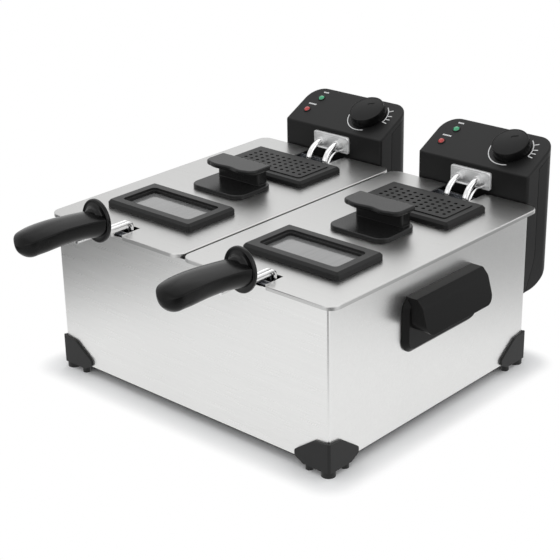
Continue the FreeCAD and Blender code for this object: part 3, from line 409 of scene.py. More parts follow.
def node_mesh(node, name):
    """A merged copy of a CAD node's mesh with its flat faces whole."""
    made = bmesh.new()
    made.from_mesh(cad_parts[node].data)
    bmesh.ops.remove_doubles(made, verts=made.verts, dist=MERGE)
    bmesh.ops.dissolve_limit(made, angle_limit=math.radians(0.6), verts=made.verts, edges=made.edges)
    mesh = bpy.data.meshes.new(name)
    made.to_mesh(mesh)
    made.free()
    for layer in ("custom_normal", "sharp_edge", "sharp_face"):
        if layer in mesh.attributes:
            mesh.attributes.remove(mesh.attributes[layer])
    mesh.materials.clear()
    mesh.shade_smooth()
    return mesh


def soft_node(node, body, width, paint, angle=30.0):
    """A CAD node with its sharp edges rounded."""
    name = node + "_form"
    piece(name, softened(node_mesh(node, name), width, angle), body, paint, [node])


def loft(made, rings, caps=True):
    """Joins rings of points into a skin."""
    rows = [[made.verts.new(point) for point in ring] for ring in rings]
    count = len(rows[0])
    for low, high in zip(rows, rows[1:]):
        for i in range(count):
            j = (i + 1) % count
            made.faces.new((low[i], low[j], high[j], high[i]))
    if caps:
        made.faces.new(rows[0])
        made.faces.new(rows[-1])


def turned(made, profile, steps, matrix):
    """A form turned about Z from (radius, height) pairs, moved by a matrix."""
    rings = [[matrix @ Vector((r * math.cos(turn), r * math.sin(turn), z))
              for turn in [2 * math.pi * i / steps for i in range(steps)]] for r, z in profile]
    loft(made, rings)


def rounded(corner, radius, steps=6):
    """Points of a quarter round on a profile: corner is (r, z) of the sharp corner on top and outside."""
    r, z = corner
    turns = [math.pi / 2 * i / steps for i in range(steps + 1)]
    return [(r - radius + radius * math.cos(a), z - radius + radius * math.sin(a)) for a in turns]


def strip(made, points, width, matrix):
    """A flat printed line through points in a panel's plane."""
    rows = []
    for i, point in enumerate(points):
        before, after = points[max(i - 1, 0)], points[min(i + 1, len(points) - 1)]
        run = Vector((after[0] - before[0], after[1] - before[1], 0)).normalized()
        out = Vector((-run.y, run.x, 0)) * width / 2
        middle = Vector((point[0], point[1], 0))
        rows.append((made.verts.new(matrix @ (middle - out)), made.verts.new(matrix @ (middle + out))))
    for first, second in zip(rows, rows[1:]):
        made.faces.new((first[0], second[0], second[1], first[1]))


def hoop(made, points, radius, matrix, steps=8):
    """A round bar along a closed line in the XY plane of a matrix."""
    rings = []
    for i, point in enumerate(points):
        before, after = points[i - 1], points[(i + 1) % len(points)]
        run = Vector((after[0] - before[0], after[1] - before[1], 0)).normalized()
        out, middle = Vector((run.y, -run.x, 0)), Vector((point[0], point[1], 0))
        turns = [2 * math.pi * step / steps for step in range(steps)]
        rings.append([matrix @ (middle + (out * math.cos(a) + Vector((0, 0, math.sin(a)))) * radius)
                      for a in turns])
    loft(made, rings + rings[:1], caps=False)
    bmesh.ops.remove_doubles(made, verts=made.verts, dist=MERGE)


def frame_line(half_width, half_height, corner):
    """A rectangle with round corners about the origin."""
    x, y = half_width - corner, half_height - corner
    corners = ((x, y, 0), (-x, y, 90), (-x, -y, 180), (x, -y, 270))
    return [point for cx, cy, turn in corners for point in arc((cx, cy), corner, turn, turn + 90, 6)]


def arc(centre, radius, start, end, steps=24):
    """Points on a circle from one turn to another, in degrees."""
    turns = [math.radians(start + (end - start) * i / steps) for i in range(steps + 1)]
    return [(centre[0] + radius * math.cos(a), centre[1] + radius * math.sin(a)) for a in turns]


def panel_matrix(side, sizes, lift=0.0):
    """From a control panel's own axes (across, up its slope, out of it) to the frame's."""
    slope = sizes.panel_angle
    across = Vector((1, 0, 0))
    up = Vector((0, math.cos(slope), math.sin(slope)))
    out = Vector((0, -math.sin(slope), math.cos(slope)))
    low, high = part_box(side + "_element_plate")
    start = Vector(((low.x + high.x) / 2, high.y, sizes.panel_top)) + out * lift
    columns = Matrix((across, up, out)).transposed().to_4x4()
    return Matrix.Translation(start) @ columns


# Geometry Nodes

class Shaper(Graph):
    """A Geometry Nodes group in the making."""

    def __init__(self, name, inputs):
        tree = bpy.data.node_groups.new(name, "GeometryNodeTree")
        super().__init__(tree)
        self.identifiers = {}
        for label, kind in inputs:
            made = tree.interface.new_socket(label, in_out="INPUT", socket_type=kind)
            self.identifiers[label] = made.identifier
        tree.interface.new_socket("Geometry", in_out="OUTPUT", socket_type="NodeSocketGeometry")
        self.entry = self.node("NodeGroupInput")

    def given(self, label):
        return self.entry.output(label)

    def vector(self, x=0.0, y=0.0, z=0.0):
        return self.node("ShaderNodeCombineXYZ", None, {0: x, 1: y, 2: z})

    def joined(self, parts):
        made = self.tree.nodes.new("GeometryNodeJoinGeometry")
        for part in reversed(parts):
            self.tree.links.new(part.socket, made.inputs[0])
        return Value(self, made.outputs[0])

    def finish(self, geometry, paint):
        real = self.node("GeometryNodeRealizeInstances", None, {0: geometry})
        smooth = self.node("GeometryNodeSetShadeSmooth", None, {0: real})
        done = self.node("GeometryNodeSetMaterial", None, {0: smooth, "Material": material(paint)})
        self.node("NodeGroupOutput", None, {0: done})

    def mesh(self, name, values):
        """Runs the group on an empty mesh with these inputs, and gives the plain mesh it makes."""
        holder = bpy.data.objects.new(name, bpy.data.meshes.new(name))
        bpy.context.scene.collection.objects.link(holder)
        made = holder.modifiers.new("shape", "NODES")
        made.node_group = self.tree
        for label, value in values.items():
            made[self.identifiers[label]] = value
        return bake(holder, name)


def basket_shaper():
    """Rings, uprights and floor wires of a basket, with a thicker rim."""
    shape = Shaper("Wire basket", [("Middle", "NodeSocketVector"), ("Width", "NodeSocketFloat"),
                                   ("Depth", "NodeSocketFloat"), ("Height", "NodeSocketFloat"),
                                   ("Corner", "NodeSocketFloat"), ("Wire", "NodeSocketFloat"),
                                   ("Rim", "NodeSocketFloat"), ("Rows", "NodeSocketInt"),
                                   ("Columns", "NodeSocketInt"), ("Lengths", "NodeSocketInt")])
    width, depth, height = shape.given("Width"), shape.given("Depth"), shape.given("Height")
    rows, columns, lengths = shape.given("Rows"), shape.given("Columns"), shape.given("Lengths")
    outline = shape.node("GeometryNodeCurvePrimitiveQuadrilateral", {"mode": "RECTANGLE"},
                         {"Width": width, "Height": depth})
    outline = shape.node("GeometryNodeFilletCurve", {"mode": "POLY"},
                         {"Curve": outline, "Count": 6, "Radius": shape.given("Corner")})

    def line(start, end):
        return shape.node("GeometryNodeCurvePrimitiveLine", {"mode": "POINTS"}, {"Start": start, "End": end})

    def row_of(count, start, step, instance):
        points = shape.node("GeometryNodeMeshLine", {"mode": "OFFSET"},
                            {"Count": count, "Start Location": start, "Offset": step})
        return shape.node("GeometryNodeInstanceOnPoints", None, {"Points": points, "Instance": instance})

    rise = height / rows
    rings = row_of(rows, shape.vector(), shape.vector(z=rise), outline)
    around = shape.node("GeometryNodeResampleCurve", {"mode": "COUNT"},
                        {"Curve": outline, "Count": (columns + lengths) * 2})
    uprights = shape.node("GeometryNodeInstanceOnPoints", None,
                          {"Points": around, "Instance": line(shape.vector(), shape.vector(z=height))})
    across_step = depth / lengths
    along_step = width / columns
    across = row_of(lengths - 1, shape.vector(y=across_step - depth / 2), shape.vector(y=across_step),
                    line(shape.vector(x=width * -0.5), shape.vector(x=width * 0.5)))
    along = row_of(columns - 1, shape.vector(x=along_step - width / 2), shape.vector(x=along_step),
                   line(shape.vector(y=depth * -0.5), shape.vector(y=depth * 0.5)))
    wires = shape.node("GeometryNodeRealizeInstances", None,
                       {0: shape.joined([rings, uprights, across, along])})
    section = shape.node("GeometryNodeCurvePrimitiveCircle", {"mode": "RADIUS"},
                         {"Resolution": 6, "Radius": shape.given("Wire")})
    mesh = shape.node("GeometryNodeCurveToMesh", None, {0: wires, 1: section})
    thick = shape.node("GeometryNodeCurvePrimitiveCircle", {"mode": "RADIUS"},
                       {"Resolution": 12, "Radius": shape.given("Rim")})
    rim = shape.node("GeometryNodeCurveToMesh", None, {0: outline, 1: thick})
    rim = shape.node("GeometryNodeSetPosition", None, {"Geometry": rim, "Offset": shape.vector(z=height)})
    whole = shape.node("GeometryNodeSetPosition", None,
                       {"Geometry": shape.joined([mesh, rim]), "Offset": shape.given("Middle")})
    shape.finish(whole, "mesh_wire")
    return shape


def tick_shaper():
    """A fan of flat printed ticks about a dial's middle, from a first turn to a last one."""
    shape = Shaper("Dial ticks", [("Count", "NodeSocketInt"), ("Radius", "NodeSocketFloat"),
                                  ("Length", "NodeSocketFloat"), ("Width", "NodeSocketFloat"),
                                  ("First", "NodeSocketFloat"), ("Last", "NodeSocketFloat")])
    count, first = shape.given("Count"), shape.given("First")
    points = shape.node("GeometryNodeMeshLine", {"mode": "OFFSET"},
                        {"Count": count, "Offset": (0.0, 0.0, 0.0)})
    tick = shape.node("GeometryNodeMeshGrid", None,
                      {"Size X": shape.given("Length"), "Size Y": shape.given("Width"),
                       "Vertices X": 3, "Vertices Y": 2})
    tick = shape.node("GeometryNodeSetPosition", None,
                      {"Geometry": tick, "Offset": shape.vector(x=shape.given("Radius"))})
    index = shape.node("GeometryNodeInputIndex")
    turn = first + index * ((shape.given("Last") - first) / (count - 1))
    fan = shape.node("GeometryNodeInstanceOnPoints", None,
                     {"Points": points, "Instance": tick, "Rotation": shape.vector(z=turn)})
    shape.finish(fan, "print_white")
    return shape


# Operators, one for each group of pieces

class FRYER_OT_housing(bpy.types.Operator):
    """Paints the steel housing with its deck, base, brackets and screws"""
    bl_idname = "fryer.housing"
    bl_label = "Housing"

    def execute(self, context):
        for node, paint in (("housing", "housing_steel"), ("deck", "deck_black"),
                            ("base_plate", "base_grey"), ("head_brackets", "soft_black"),
                            ("base_screws", "plate_steel"), ("side_handle_screws", "plate_steel")):
            paint_node(node, paint)
        return {"FINISHED"}


class FRYER_OT_feet(bpy.types.Operator):
    """Rounds the corner feet's edges"""
    bl_idname = "fryer.feet"
    bl_label = "Feet"

    def execute(self, context):
        edge = context.scene.fryer_sizes.edge
        for end in ("front", "rear"):
            for side in SIDES:
                soft_node("foot_" + end + "_" + side, "stand", edge, "foot_black")
        return {"FINISHED"}


class FRYER_OT_side_handles(bpy.types.Operator):
    """Rounds the side handles' edges"""
    bl_idname = "fryer.side_handles"
    bl_label = "Side handles"

    def execute(self, context):
        edge = context.scene.fryer_sizes.edge
        for side in SIDES:
            soft_node("side_handle_" + side, "stand", edge, "handle_black")
        return {"FINISHED"}


class FRYER_OT_lids(bpy.types.Operator):
    """Paints the lids, with their windows, filters and handles on them"""
    bl_idname = "fryer.lids"
    bl_label = "Lids"

    def execute(self, context):
        sizes = context.scene.fryer_sizes
        for side in SIDES:
            body = side + "_lid_group"
            paint_node(side + "_lid", "lid_steel")
            paint_node(side + "_window_pane", "pane_glass")
            paint_node(side + "_filter_mat", "mat_fibre")
            paint_node(side + "_lid_pull_screws", "plate_steel")
            soft_node(side + "_window_frame", body, sizes.fine_edge, "window_black")
            soft_node(side + "_filter_cover", body, sizes.fine_edge * 0.7, "filter_black")
            soft_node(side + "_lid_pull", body, sizes.edge, "pull_black", 40.0)
        return {"FINISHED"}


class FRYER_OT_baskets(bpy.types.Operator):
    """Weaves the wire baskets and adds the sockets for their handles"""
    bl_idname = "fryer.baskets"
    bl_label = "Baskets"

    corner = 22 * MM
    mesh_gap = 11 * MM
    handle_wire = 1.8 * MM
    socket_bore = 2.1 * MM
    socket_radius = 2.9 * MM
    socket_height = 42 * MM
    bridge_width = 20 * MM
    bridge_thick = 1.6 * MM
    bridge_inset = 8 * MM
    bridge_sink = 0.2 * MM
    socket_edge = 0.3 * MM

    def execute(self, context):
        sizes = context.scene.fryer_sizes
        shape = basket_shaper()
        for side in SIDES:
            self.weave(side, sizes, shape)
        return {"FINISHED"}

    def weave(self, side, sizes, shape):
        low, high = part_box(side + "_basket")
        wires_low, wires_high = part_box(side + "_handle_wires")
        rim = sizes.rim_radius
        front = wires_high.y + self.mesh_gap
        width = high.x - low.x - 2 * rim
        depth = high.y - front - rim
        bottom = low.z + sizes.wire_radius
        top = high.z - rim
        middle = ((low.x + high.x) / 2, (front + high.y - rim) / 2, bottom)
        pitch = sizes.wire_pitch
        mesh = shape.mesh(side + "_basket_mesh", {
            "Middle": middle, "Width": width, "Depth": depth, "Height": top - bottom, "Corner": self.corner,
            "Wire": sizes.wire_radius, "Rim": rim, "Rows": round((top - bottom) / pitch),
            "Columns": round(width / pitch), "Lengths": round(depth / pitch)})
        body = side + "_frying_basket"
        piece(side + "_basket_mesh", mesh, body, "mesh_wire", [side + "_basket"])

        def sockets(made):
            inner, outer, tall = self.socket_bore, self.socket_radius, self.socket_height
            wall = [(inner, 0), (outer, 0), (outer, tall), (inner, tall), (inner, 0)]
            for x in (wires_low.x + self.handle_wire, wires_high.x - self.handle_wire):
                place = Matrix.Translation((x, wires_high.y - self.handle_wire, high.z - tall))
                turned(made, wall, 24, place)
            back = wires_high.y - self.handle_wire + outer - self.bridge_sink
            for z in (high.z - self.bridge_inset, high.z - tall + self.bridge_inset):
                size = Matrix.Diagonal((self.bridge_width, front - back, self.bridge_thick, 1.0))
                place = Matrix.Translation((middle[0], (front + back) / 2, z))
                bmesh.ops.create_cube(made, size=1.0, matrix=place @ size)

        mesh = softened(mesh_of(side + "_basket_socket", sockets), self.socket_edge)
        piece(side + "_basket_socket", mesh, body, "mesh_wire")


class FRYER_OT_basket_handles(bpy.types.Operator):
    """Builds the basket grips with their collars, on their bright wires"""
    bl_idname = "fryer.basket_handles"
    bl_label = "Basket handles"

    # Along the grip: share of its length, share of its width, rise of its ridges and share of its belly
    stations = ((0.0, 0.98, -2.0, 0.98), (0.25, 0.98, 1.0, 0.90), (0.5, 1.0, 3.0, 0.92),
                (0.72, 1.0, 3.0, 0.94), (0.88, 0.90, 1.5, 0.90), (0.965, 0.86, -1.5, 0.86),
                (1.0, 0.82, -6.0, 0.84))
    tip_start = 0.86
    tip_blunt = 0.04
    crowding = 1.6
    fullness = 0.8
    rings = 44
    top_steps = 12
    belly_steps = 24
    half_width = 20.5 * MM
    ridge_z = 229 * MM
    crown = 5 * MM
    belly = 25 * MM
    grip_edge = 1.3 * MM
    collar_thick = 5.5 * MM
    collar_rim = 1.8 * MM

    def execute(self, context):
        sizes = context.scene.fryer_sizes
        for side in SIDES:
            low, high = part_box(side + "_handle_grip")
            body = side + "_basket_handle"
            paint_node(side + "_handle_wires", "bright_wire")
            collar_back = high.y
            collar_front = high.y - self.collar_thick
            x = (low.x + high.x) / 2
            mesh = mesh_of(side + "_grip_form", lambda made: self.grip(made, x, collar_front, low.y))
            mesh = softened(mesh, self.grip_edge, angle=38.0, segments=4)
            piece(side + "_grip_form", mesh, body, "grip_black", [side + "_handle_grip"])
            deep = collar_back - collar_front
            middle = Vector((x, collar_back, (low.z + high.z) / 2))
            oval = Matrix.Diagonal(((high.x - low.x) / 2, (high.z - low.z) / 2, 1.0, 1.0))
            place = Matrix.Translation(middle) @ Matrix.Rotation(math.pi / 2, 4, "X") @ oval
            mesh = mesh_of(side + "_grip_collar", lambda made: self.collar(made, deep, sizes.rounds, place))
            piece(side + "_grip_collar", mesh, body, "gloss_black")
        return {"FINISHED"}

    def collar(self, made, deep, steps, place):
        """A rounded plate with a lower step before it; radii are shares of the collar's own."""
        rim = self.collar_rim
        turns = [math.pi / 2 * i / 6 for i in range(7)]
        round_off = [(0.92 + 0.08 * math.cos(a), rim * math.sin(a)) for a in turns]
        profile = [(0.2, 0.0)] + [(r, rim - z) for r, z in reversed(round_off)]
        profile += [(r, deep - rim + z) for r, z in round_off]
        flare = ((0.76, 0.0), (0.70, 0.7), (0.66, 1.9), (0.64, 3.6), (0.62, 4.6), (0.58, 5.2), (0.2, 5.4))
        profile += [(r, deep + out * MM) for r, out in flare]
        turned(made, profile, steps, place)

    def between(self, share):
        """Width, rise and belly at a share of the length, on a smooth curve through the stations."""
        rows = self.stations
        i = max(k for k in range(len(rows) - 1) if rows[k][0] <= share)
        span = rows[i + 1][0] - rows[i][0]
        t = (share - rows[i][0]) / span
        found = []
        for column in (1, 2, 3):
            here, there = rows[i][column], rows[i + 1][column]
            before, after = rows[max(i - 1, 0)], rows[min(i + 2, len(rows) - 1)]
            start = (there - before[column]) / max(rows[i + 1][0] - before[0], 1e-6) * span
            end = (after[column] - here) / max(after[0] - rows[i][0], 1e-6) * span
            found.append((2 * t ** 3 - 3 * t ** 2 + 1) * here + (t ** 3 - 2 * t ** 2 + t) * start
                         + (3 * t ** 2 - 2 * t ** 3) * there + (t ** 3 - t ** 2) * end)
        return found

    def grip(self, made, x, back, tip):
        """Rings from the collar to the tip, closer there: a crowned top between two ridges over a belly."""
        rings = []
        for step in range(self.rings + 1):
            share = 1 - (1 - step / self.rings) ** self.crowding
            wide, rise, deep = self.between(share)
            past = max(share - self.tip_start, 0.0) / (1 - self.tip_start)
            close = max(math.sqrt(1 - past * past), self.tip_blunt)
            wide, deep = wide * close, deep * close
            y = back + (tip - back) * share
            half = self.half_width * wide
            ridge = self.ridge_z + rise * MM
            ring = []
            for i in range(self.top_steps + 1):
                u = 2 * i / self.top_steps - 1
                ring.append((x + half * u, y, ridge + self.crown * wide * (1 - u * u)))
            for i in range(1, self.belly_steps):
                a = math.pi * i / self.belly_steps
                drop = self.belly * deep * math.sin(a) ** self.fullness
                ring.append((x + half * math.cos(a), y, ridge - drop))
            rings.append(ring)
        loft(made, rings)


class FRYER_OT_tanks(bpy.types.Operator):
    """Paints the oil tanks"""
    bl_idname = "fryer.tanks"
    bl_label = "Tanks"

    def execute(self, context):
        for side in SIDES:
            paint_node(side + "_tank", "tank_enamel")
        return {"FINISHED"}


class FRYER_OT_heads(bpy.types.Operator):
    """Paints the control heads with their glands, buttons and lamps"""
    bl_idname = "fryer.heads"
    bl_label = "Control heads"

    lamp_places = ((-53.5 * MM, 47.5 * MM), (-60.0 * MM, 23.4 * MM))
    bezel_bore = 4.05 * MM
    bezel_radius = 5.2 * MM
    bezel_height = 0.9 * MM
    bezel_edge = 0.4 * MM

    def execute(self, context):
        sizes = context.scene.fryer_sizes
        for side in SIDES:
            for node, paint in (("cord_gland", "soft_black"), ("reset_button", "gloss_black"),
                                ("thermostat", "ceramic"), ("lamp_green", "lamp_green"),
                                ("lamp_red", "lamp_red")):
                paint_node(side + "_" + node, paint)
            body = side + "_control_head"
            soft_node(side + "_head_shell", body, sizes.edge, "head_black", 40.0)
            soft_node(side + "_head_back_cover", body, sizes.edge, "cover_black", 40.0)
            self.bezels(side, sizes)
        return {"FINISHED"}

    def bezels(self, side, sizes):
        """A rounded ring about each lamp."""
        panel = panel_matrix(side, sizes)
        inner, outer, tall = self.bezel_bore, self.bezel_radius, self.bezel_height
        profile = [(inner, 0.0), (outer, 0.0)] + rounded((outer, tall), self.bezel_edge)
        profile += [(inner, tall), (inner, 0.0)]

        def rings(made):
            for x, up in self.lamp_places:
                turned(made, profile, 32, panel @ Matrix.Translation((x, up, 0)))

        piece(side + "_lamp_bezels", mesh_of(side + "_lamp_bezels", rings), side + "_control_head",
              "gloss_black")


class FRYER_OT_dials(bpy.types.Operator):
    """Turns the knobs and prints the dials"""
    bl_idname = "fryer.dials"
    bl_label = "Dials"

    knob = (34 * MM, 36 * MM)
    knob_gap = 0.8 * MM
    knob_foot = 23 * MM
    knob_radius = 22.4 * MM
    knob_height = 11.6 * MM
    knob_lip = 0.4 * MM
    dial = (32.4 * MM, 36 * MM)
    dial_radius = 27 * MM
    line_width = 1.2 * MM
    lone_tick = 31
    # Label blocks: place across and up the panel in millimetres, and their number
    labels = ((-53.4, 58.6, 4), (-58.6, 34.4, 6))
    block_pitch = 2.1
    block_length = 1.6
    block_height = 2.2 * MM

    def execute(self, context):
        sizes = context.scene.fryer_sizes
        ticks = tick_shaper()
        for side in SIDES:
            self.turn_knob(side, sizes)
            self.print_dial(side, sizes, ticks)
        return {"FINISHED"}

    def turn_knob(self, side, sizes):
        """A round body with a recessed face and a pointer on it."""
        place = panel_matrix(side, sizes) @ Matrix.Translation((self.knob[0], self.knob[1], self.knob_gap))
        foot, face, tall, lip = self.knob_foot, self.knob_radius, self.knob_height, self.knob_lip
        skirt = [(0.4 * foot, 0.0), (foot - 0.4 * MM, 0.0), (foot, 0.5 * MM)]
        skirt += rounded((face, tall), 0.7 * MM)
        skirt += [(face - 1.1 * MM, tall), (face - 1.4 * MM, tall - lip)]
        mesh = mesh_of(side + "_knob_body", lambda made: turned(made, skirt + [(3 * MM, tall - lip)],
                                                                sizes.rounds, place), 40.0)
        piece(side + "_knob_body", mesh, side + "_dial", "knob_side", [side + "_knob"])

        def disc(made):
            top = tall - lip + 0.25 * MM
            edge = face - 1.5 * MM
            turned(made, [(edge, tall - lip - 0.2 * MM), (edge, top - 0.15 * MM), (edge - 0.3 * MM, top),
                          (1 * MM, top + 0.1 * MM)], sizes.rounds, place)

        piece(side + "_knob_face", mesh_of(side + "_knob_face", disc), side + "_dial", "knob_face")

        def pointer(made):
            start = place @ Matrix.Translation((0, 0, tall - lip + 0.42 * MM))
            strip(made, [(-3.0 * MM, 8.6 * MM), (4.6 * MM, 12.0 * MM)], 1.6 * MM, start)
            strip(made, [(-2.8 * MM, 8.9 * MM), (-2.0 * MM, 6.7 * MM)], 1.2 * MM, start)

        piece(side + "_knob_pointer", mesh_of(side + "_knob_pointer", pointer), side + "_dial", "deck_black")

    def print_dial(self, side, sizes, ticks):
        """Arcs, ticks and label blocks on a control panel."""
        place = panel_matrix(side, sizes, sizes.print_lift)
        body = side + "_control_head"

        def lines(made):
            for start, end in ((182, 290), (-11, 50)):
                strip(made, arc(self.dial, self.dial_radius, start, end), self.line_width, place)
            ends = [arc(self.dial, self.dial_radius + out, self.lone_tick, self.lone_tick, 1)[0]
                    for out in (0.4 * MM, 6.6 * MM)]
            strip(made, ends, sizes.tick_width, place)
            for x, up, blocks in self.labels:
                for i in range(blocks):
                    start = x + (i - blocks / 2) * self.block_pitch
                    run = [(start * MM, up * MM), ((start + self.block_length) * MM, up * MM)]
                    strip(made, run, self.block_height, place)

        piece(side + "_dial_print", mesh_of(side + "_dial_print", lines), body, "print_white")
        mesh = ticks.mesh(side + "_dial_ticks", {
            "Count": 3, "Radius": self.dial_radius + 3.5 * MM, "Length": sizes.tick_length,
            "Width": sizes.tick_width, "First": math.radians(-10), "Last": math.radians(13)})
        mesh.transform(place @ Matrix.Translation((self.dial[0], self.dial[1], 0)))
        piece(side + "_dial_ticks", mesh, body, "print_white")


class FRYER_OT_heaters(bpy.types.Operator):
    """Finishes the element plates, with ferrules, a strap and screws"""
    bl_idname = "fryer.heaters"
    bl_label = "Heaters"

    tube = 4 * MM
    leg_place = 13 * MM
    ferrule_gap = 0.1 * MM
    ferrule_wall = 1.5 * MM
    ferrule_length = 7 * MM
    ferrule_edge = 0.6 * MM
    sink = 0.2 * MM
    # Border lines: inset from the plate's edge, corner and bar radius
    border_lines = ((1.2 * MM, 3 * MM, 0.7 * MM), (3.6 * MM, 2 * MM, 0.5 * MM))
    strap_size = (26 * MM, 4 * MM, 1.2 * MM)
    strap_place = 13 * MM
    strap_edge = 0.4 * MM

    def execute(self, context):
        for side in SIDES:
            for node, paint in (("heating_element", "element_steel"), ("sensor_tube", "element_steel"),
                                ("element_plate", "plate_steel"), ("element_screws", "plate_steel")):
                paint_node(side + "_" + node, paint)
            self.fittings(side)
        return {"FINISHED"}

    def fittings(self, side):
        """Ferrules about a heater's legs, a pressed border on its plate, and a strap under the legs."""
        low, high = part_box(side + "_element_plate")
        middle = (low + high) / 2
        body = side + "_control_head"
        turn = Matrix.Rotation(math.pi / 2, 4, "X")

        def ferrules(made):
            inner, outer = self.tube + self.ferrule_gap, self.tube + self.ferrule_wall
            long = self.ferrule_length
            profile = [(inner, -self.sink), (outer, -self.sink)] + rounded((outer, long), self.ferrule_edge)
            for x in (middle.x - self.leg_place, middle.x + self.leg_place):
                place = Matrix.Translation((x, low.y, middle.z)) @ turn
                turned(made, profile + [(inner, long)], 32, place)

        name = side + "_tube_ferrules"
        piece(name, mesh_of(name, ferrules), body, "plate_steel")

        def border(made):
            place = Matrix.Translation((middle.x, low.y, middle.z)) @ turn
            wide, tall = (high.x - low.x) / 2, (high.z - low.z) / 2
            for inset, corner, bar in self.border_lines:
                hoop(made, frame_line(wide - inset, tall - inset, corner), bar, place)

        name = side + "_plate_border"
        piece(name, mesh_of(name, border), body, "plate_steel")

        def strap(made):
            size = Matrix.Diagonal((*self.strap_size, 1.0))
            under = middle.z - self.tube - self.sink
            place = Matrix.Translation((middle.x, low.y - self.strap_place, under))
            bmesh.ops.create_cube(made, size=1.0, matrix=place @ size)

        name = side + "_tube_strap"
        piece(name, softened(mesh_of(name, strap), self.strap_edge), body, "plate_steel")


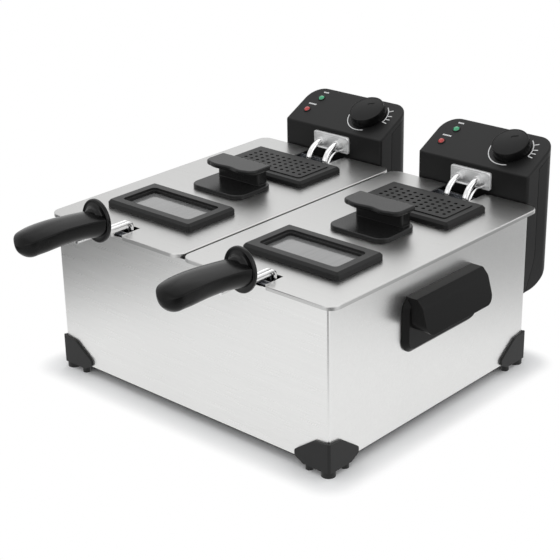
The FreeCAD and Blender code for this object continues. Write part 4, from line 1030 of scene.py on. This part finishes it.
class FRYER_OT_studio(bpy.types.Operator):
    """Sets up the floor, the lamps, the surroundings and the camera"""
    bl_idname = "fryer.studio"
    bl_label = "Studio"

    # Dark places on the floor that only mirrored rays see: X, Y, inner and outer distance, and strength
    dark_places = ((0.62, -0.60, 0.15, 0.52, 1.0), (-0.70, -0.52, 0.10, 0.58, 1.0),
                   (0.62, 0.54, 0.10, 0.52, 0.8))
    mirrored_white = 0.75
    shadow_reach = 0.04
    floor_half = 6.0

    def execute(self, context):
        studio = context.scene.fryer_studio
        self.floor()
        self.lamps(studio)
        self.surroundings(context.scene, studio)
        self.camera(context.scene, studio)
        context.scene.view_settings.view_transform = "Standard"
        return {"FINISHED"}

    def floor(self):
        """A pale floor that turns white for the camera, except for the shadow close to the housing."""
        paint = Paint("studio_floor")
        cloud = paint.noise(3.0)
        pale = paint.mix(cloud, (0.93, 0.93, 0.93, 1.0), (0.95, 0.95, 0.95, 1.0))
        black = (0.10, 0.10, 0.10, 1.0)
        x, y = paint.axis("X"), paint.axis("Y")
        rays = paint.node("ShaderNodeLightPath")

        def near(centre_x, centre_y, inner, outer):
            """1 within the inner distance of a place on the floor, 0 beyond the outer one."""
            dx, dy = x - centre_x, y - centre_y
            return paint.ramp(dx * dx + dy * dy, outer ** 2, inner ** 2)

        dark = sum(near(*place) * strength for *place, strength in self.dark_places).clamped()
        mirrored = rays.output("Is Glossy Ray") + rays.output("Is Transmission Ray")
        colour = paint.mix(dark * mirrored, pale, black)
        surface = paint.node("ShaderNodeBsdfDiffuse", None, {"Color": colour})
        white = paint.node("ShaderNodeEmission", None, {"Color": (1.0, 1.0, 1.0, 1.0), "Strength": 1.0})
        low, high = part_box("housing")
        gap_x = ((x - (low.x + high.x) / 2).size() - (high.x - low.x) / 2).at_least(0.0)
        gap_y = ((y - (low.y + high.y) / 2).size() - (high.y - low.y) / 2).at_least(0.0)
        clear = paint.ramp(gap_x * gap_x + gap_y * gap_y, 0.0, self.shadow_reach ** 2)
        share = clear * rays.output("Is Camera Ray") + (1.0 - dark) * mirrored * self.mirrored_white
        blend = paint.node("ShaderNodeMixShader", None, {0: share, 1: surface, 2: white})
        paint.node("ShaderNodeOutputMaterial", None, {"Surface": blend})

        def sheet(made):
            bmesh.ops.create_grid(made, x_segments=8, y_segments=8, size=self.floor_half)

        mesh = mesh_of("studio_floor", sheet)
        mesh.materials.append(paint.material)
        made = bpy.data.objects.new("studio_floor", mesh)
        bpy.context.scene.collection.objects.link(made)

    def lamps(self, studio):
        """Soft lamps, each with its place, what it points at, its size and its power."""
        for name, place, aim, size, power in (
                ("studio_key", (-0.45, 0.2, 1.9), (0, 0, 0.15), (2.2, 1.6), studio.key),
                ("studio_rim", (-0.7, 1.3, 1.5), (0, 0, 0.2), (1.5, 0.9), studio.rim),
                ("studio_side", (1.9, 0.5, 0.9), (0.1, 0, 0.12), (1.4, 1.2), studio.side),
                ("studio_front", (0.1, -2.0, 0.9), (0, 0, 0.12), (1.6, 1.2), studio.front)):
            data = bpy.data.lights.new(name, "AREA")
            data.shape = "RECTANGLE"
            data.size, data.size_y = size
            data.energy = power
            made = bpy.data.objects.new(name, data)
            bpy.context.scene.collection.objects.link(made)
            made.location = place
            made.rotation_euler = (Vector(aim) - Vector(place)).to_track_quat("-Z", "Y").to_euler()

    def surroundings(self, scene, studio):
        """Even light all round, which the camera, metal and glass see as white."""
        world = bpy.data.worlds.new("studio_world")
        world.use_nodes = True
        tree = Graph(world.node_tree)
        tree.tree.nodes.clear()
        rays = tree.node("ShaderNodeLightPath")
        mirrored = rays.output("Is Glossy Ray") + rays.output("Is Transmission Ray")
        soft = tree.node("ShaderNodeBackground", None,
                         {"Color": (0.98, 0.99, 1.0, 1.0), "Strength": studio.world})
        white = tree.node("ShaderNodeBackground", None, {"Color": (1.0, 1.0, 1.0, 1.0), "Strength": 1.0})
        seen = rays.output("Is Camera Ray") + mirrored
        blend = tree.node("ShaderNodeMixShader", None, {0: seen, 1: soft, 2: white})
        tree.node("ShaderNodeOutputWorld", None, {"Surface": blend})
        scene.world = world

    def camera(self, scene, studio):
        """A camera turned about the target, with a roll."""
        az, el, roll = studio.azimuth, studio.elevation, studio.roll
        right = Vector((math.cos(az), math.sin(az), 0))
        back = Vector((math.sin(az) * math.cos(el), -math.cos(az) * math.cos(el), math.sin(el)))
        up = back.cross(right)
        turned_right = right * math.cos(roll) + up * math.sin(roll)
        turned_up = up * math.cos(roll) - right * math.sin(roll)
        data = bpy.data.cameras.new("studio_camera")
        data.sensor_width = 36.0
        data.lens = studio.lens
        made = bpy.data.objects.new("studio_camera", data)
        scene.collection.objects.link(made)
        turn = Matrix((turned_right, turned_up, back)).transposed().to_4x4()
        made.matrix_world = Matrix.Translation(Vector(studio.target) + back * studio.distance) @ turn
        scene.camera = made


OPERATORS = (FRYER_OT_housing, FRYER_OT_feet, FRYER_OT_side_handles, FRYER_OT_lids, FRYER_OT_baskets,
             FRYER_OT_basket_handles, FRYER_OT_tanks, FRYER_OT_heads, FRYER_OT_dials, FRYER_OT_heaters,
             FRYER_OT_studio)


class FRYER_PT_pieces(bpy.types.Panel):
    """Lists the steps that finish the fryer"""
    bl_idname = "FRYER_PT_pieces"
    bl_label = "Twin deep fryer"
    bl_space_type = "VIEW_3D"
    bl_region_type = "UI"
    bl_category = "Fryer"

    def draw(self, context):
        for operator in OPERATORS:
            self.layout.operator(operator.bl_idname)


CLASSES = (FryerSizes, FryerStudio) + OPERATORS + (FRYER_PT_pieces,)


def register():
    for made in CLASSES:
        bpy.utils.register_class(made)
    bpy.types.Scene.fryer_sizes = PointerProperty(type=FryerSizes)
    bpy.types.Scene.fryer_studio = PointerProperty(type=FryerStudio)


def unregister():
    del bpy.types.Scene.fryer_studio
    del bpy.types.Scene.fryer_sizes
    for made in reversed(CLASSES):
        bpy.utils.unregister_class(made)


def main():
    register()
    bpy.ops.fryer.housing()
    bpy.ops.fryer.feet()
    bpy.ops.fryer.side_handles()
    bpy.ops.fryer.lids()
    bpy.ops.fryer.baskets()
    bpy.ops.fryer.basket_handles()
    bpy.ops.fryer.tanks()
    bpy.ops.fryer.heads()
    bpy.ops.fryer.dials()
    bpy.ops.fryer.heaters()
    bpy.ops.fryer.studio()


if __name__ == "__main__":
    main()
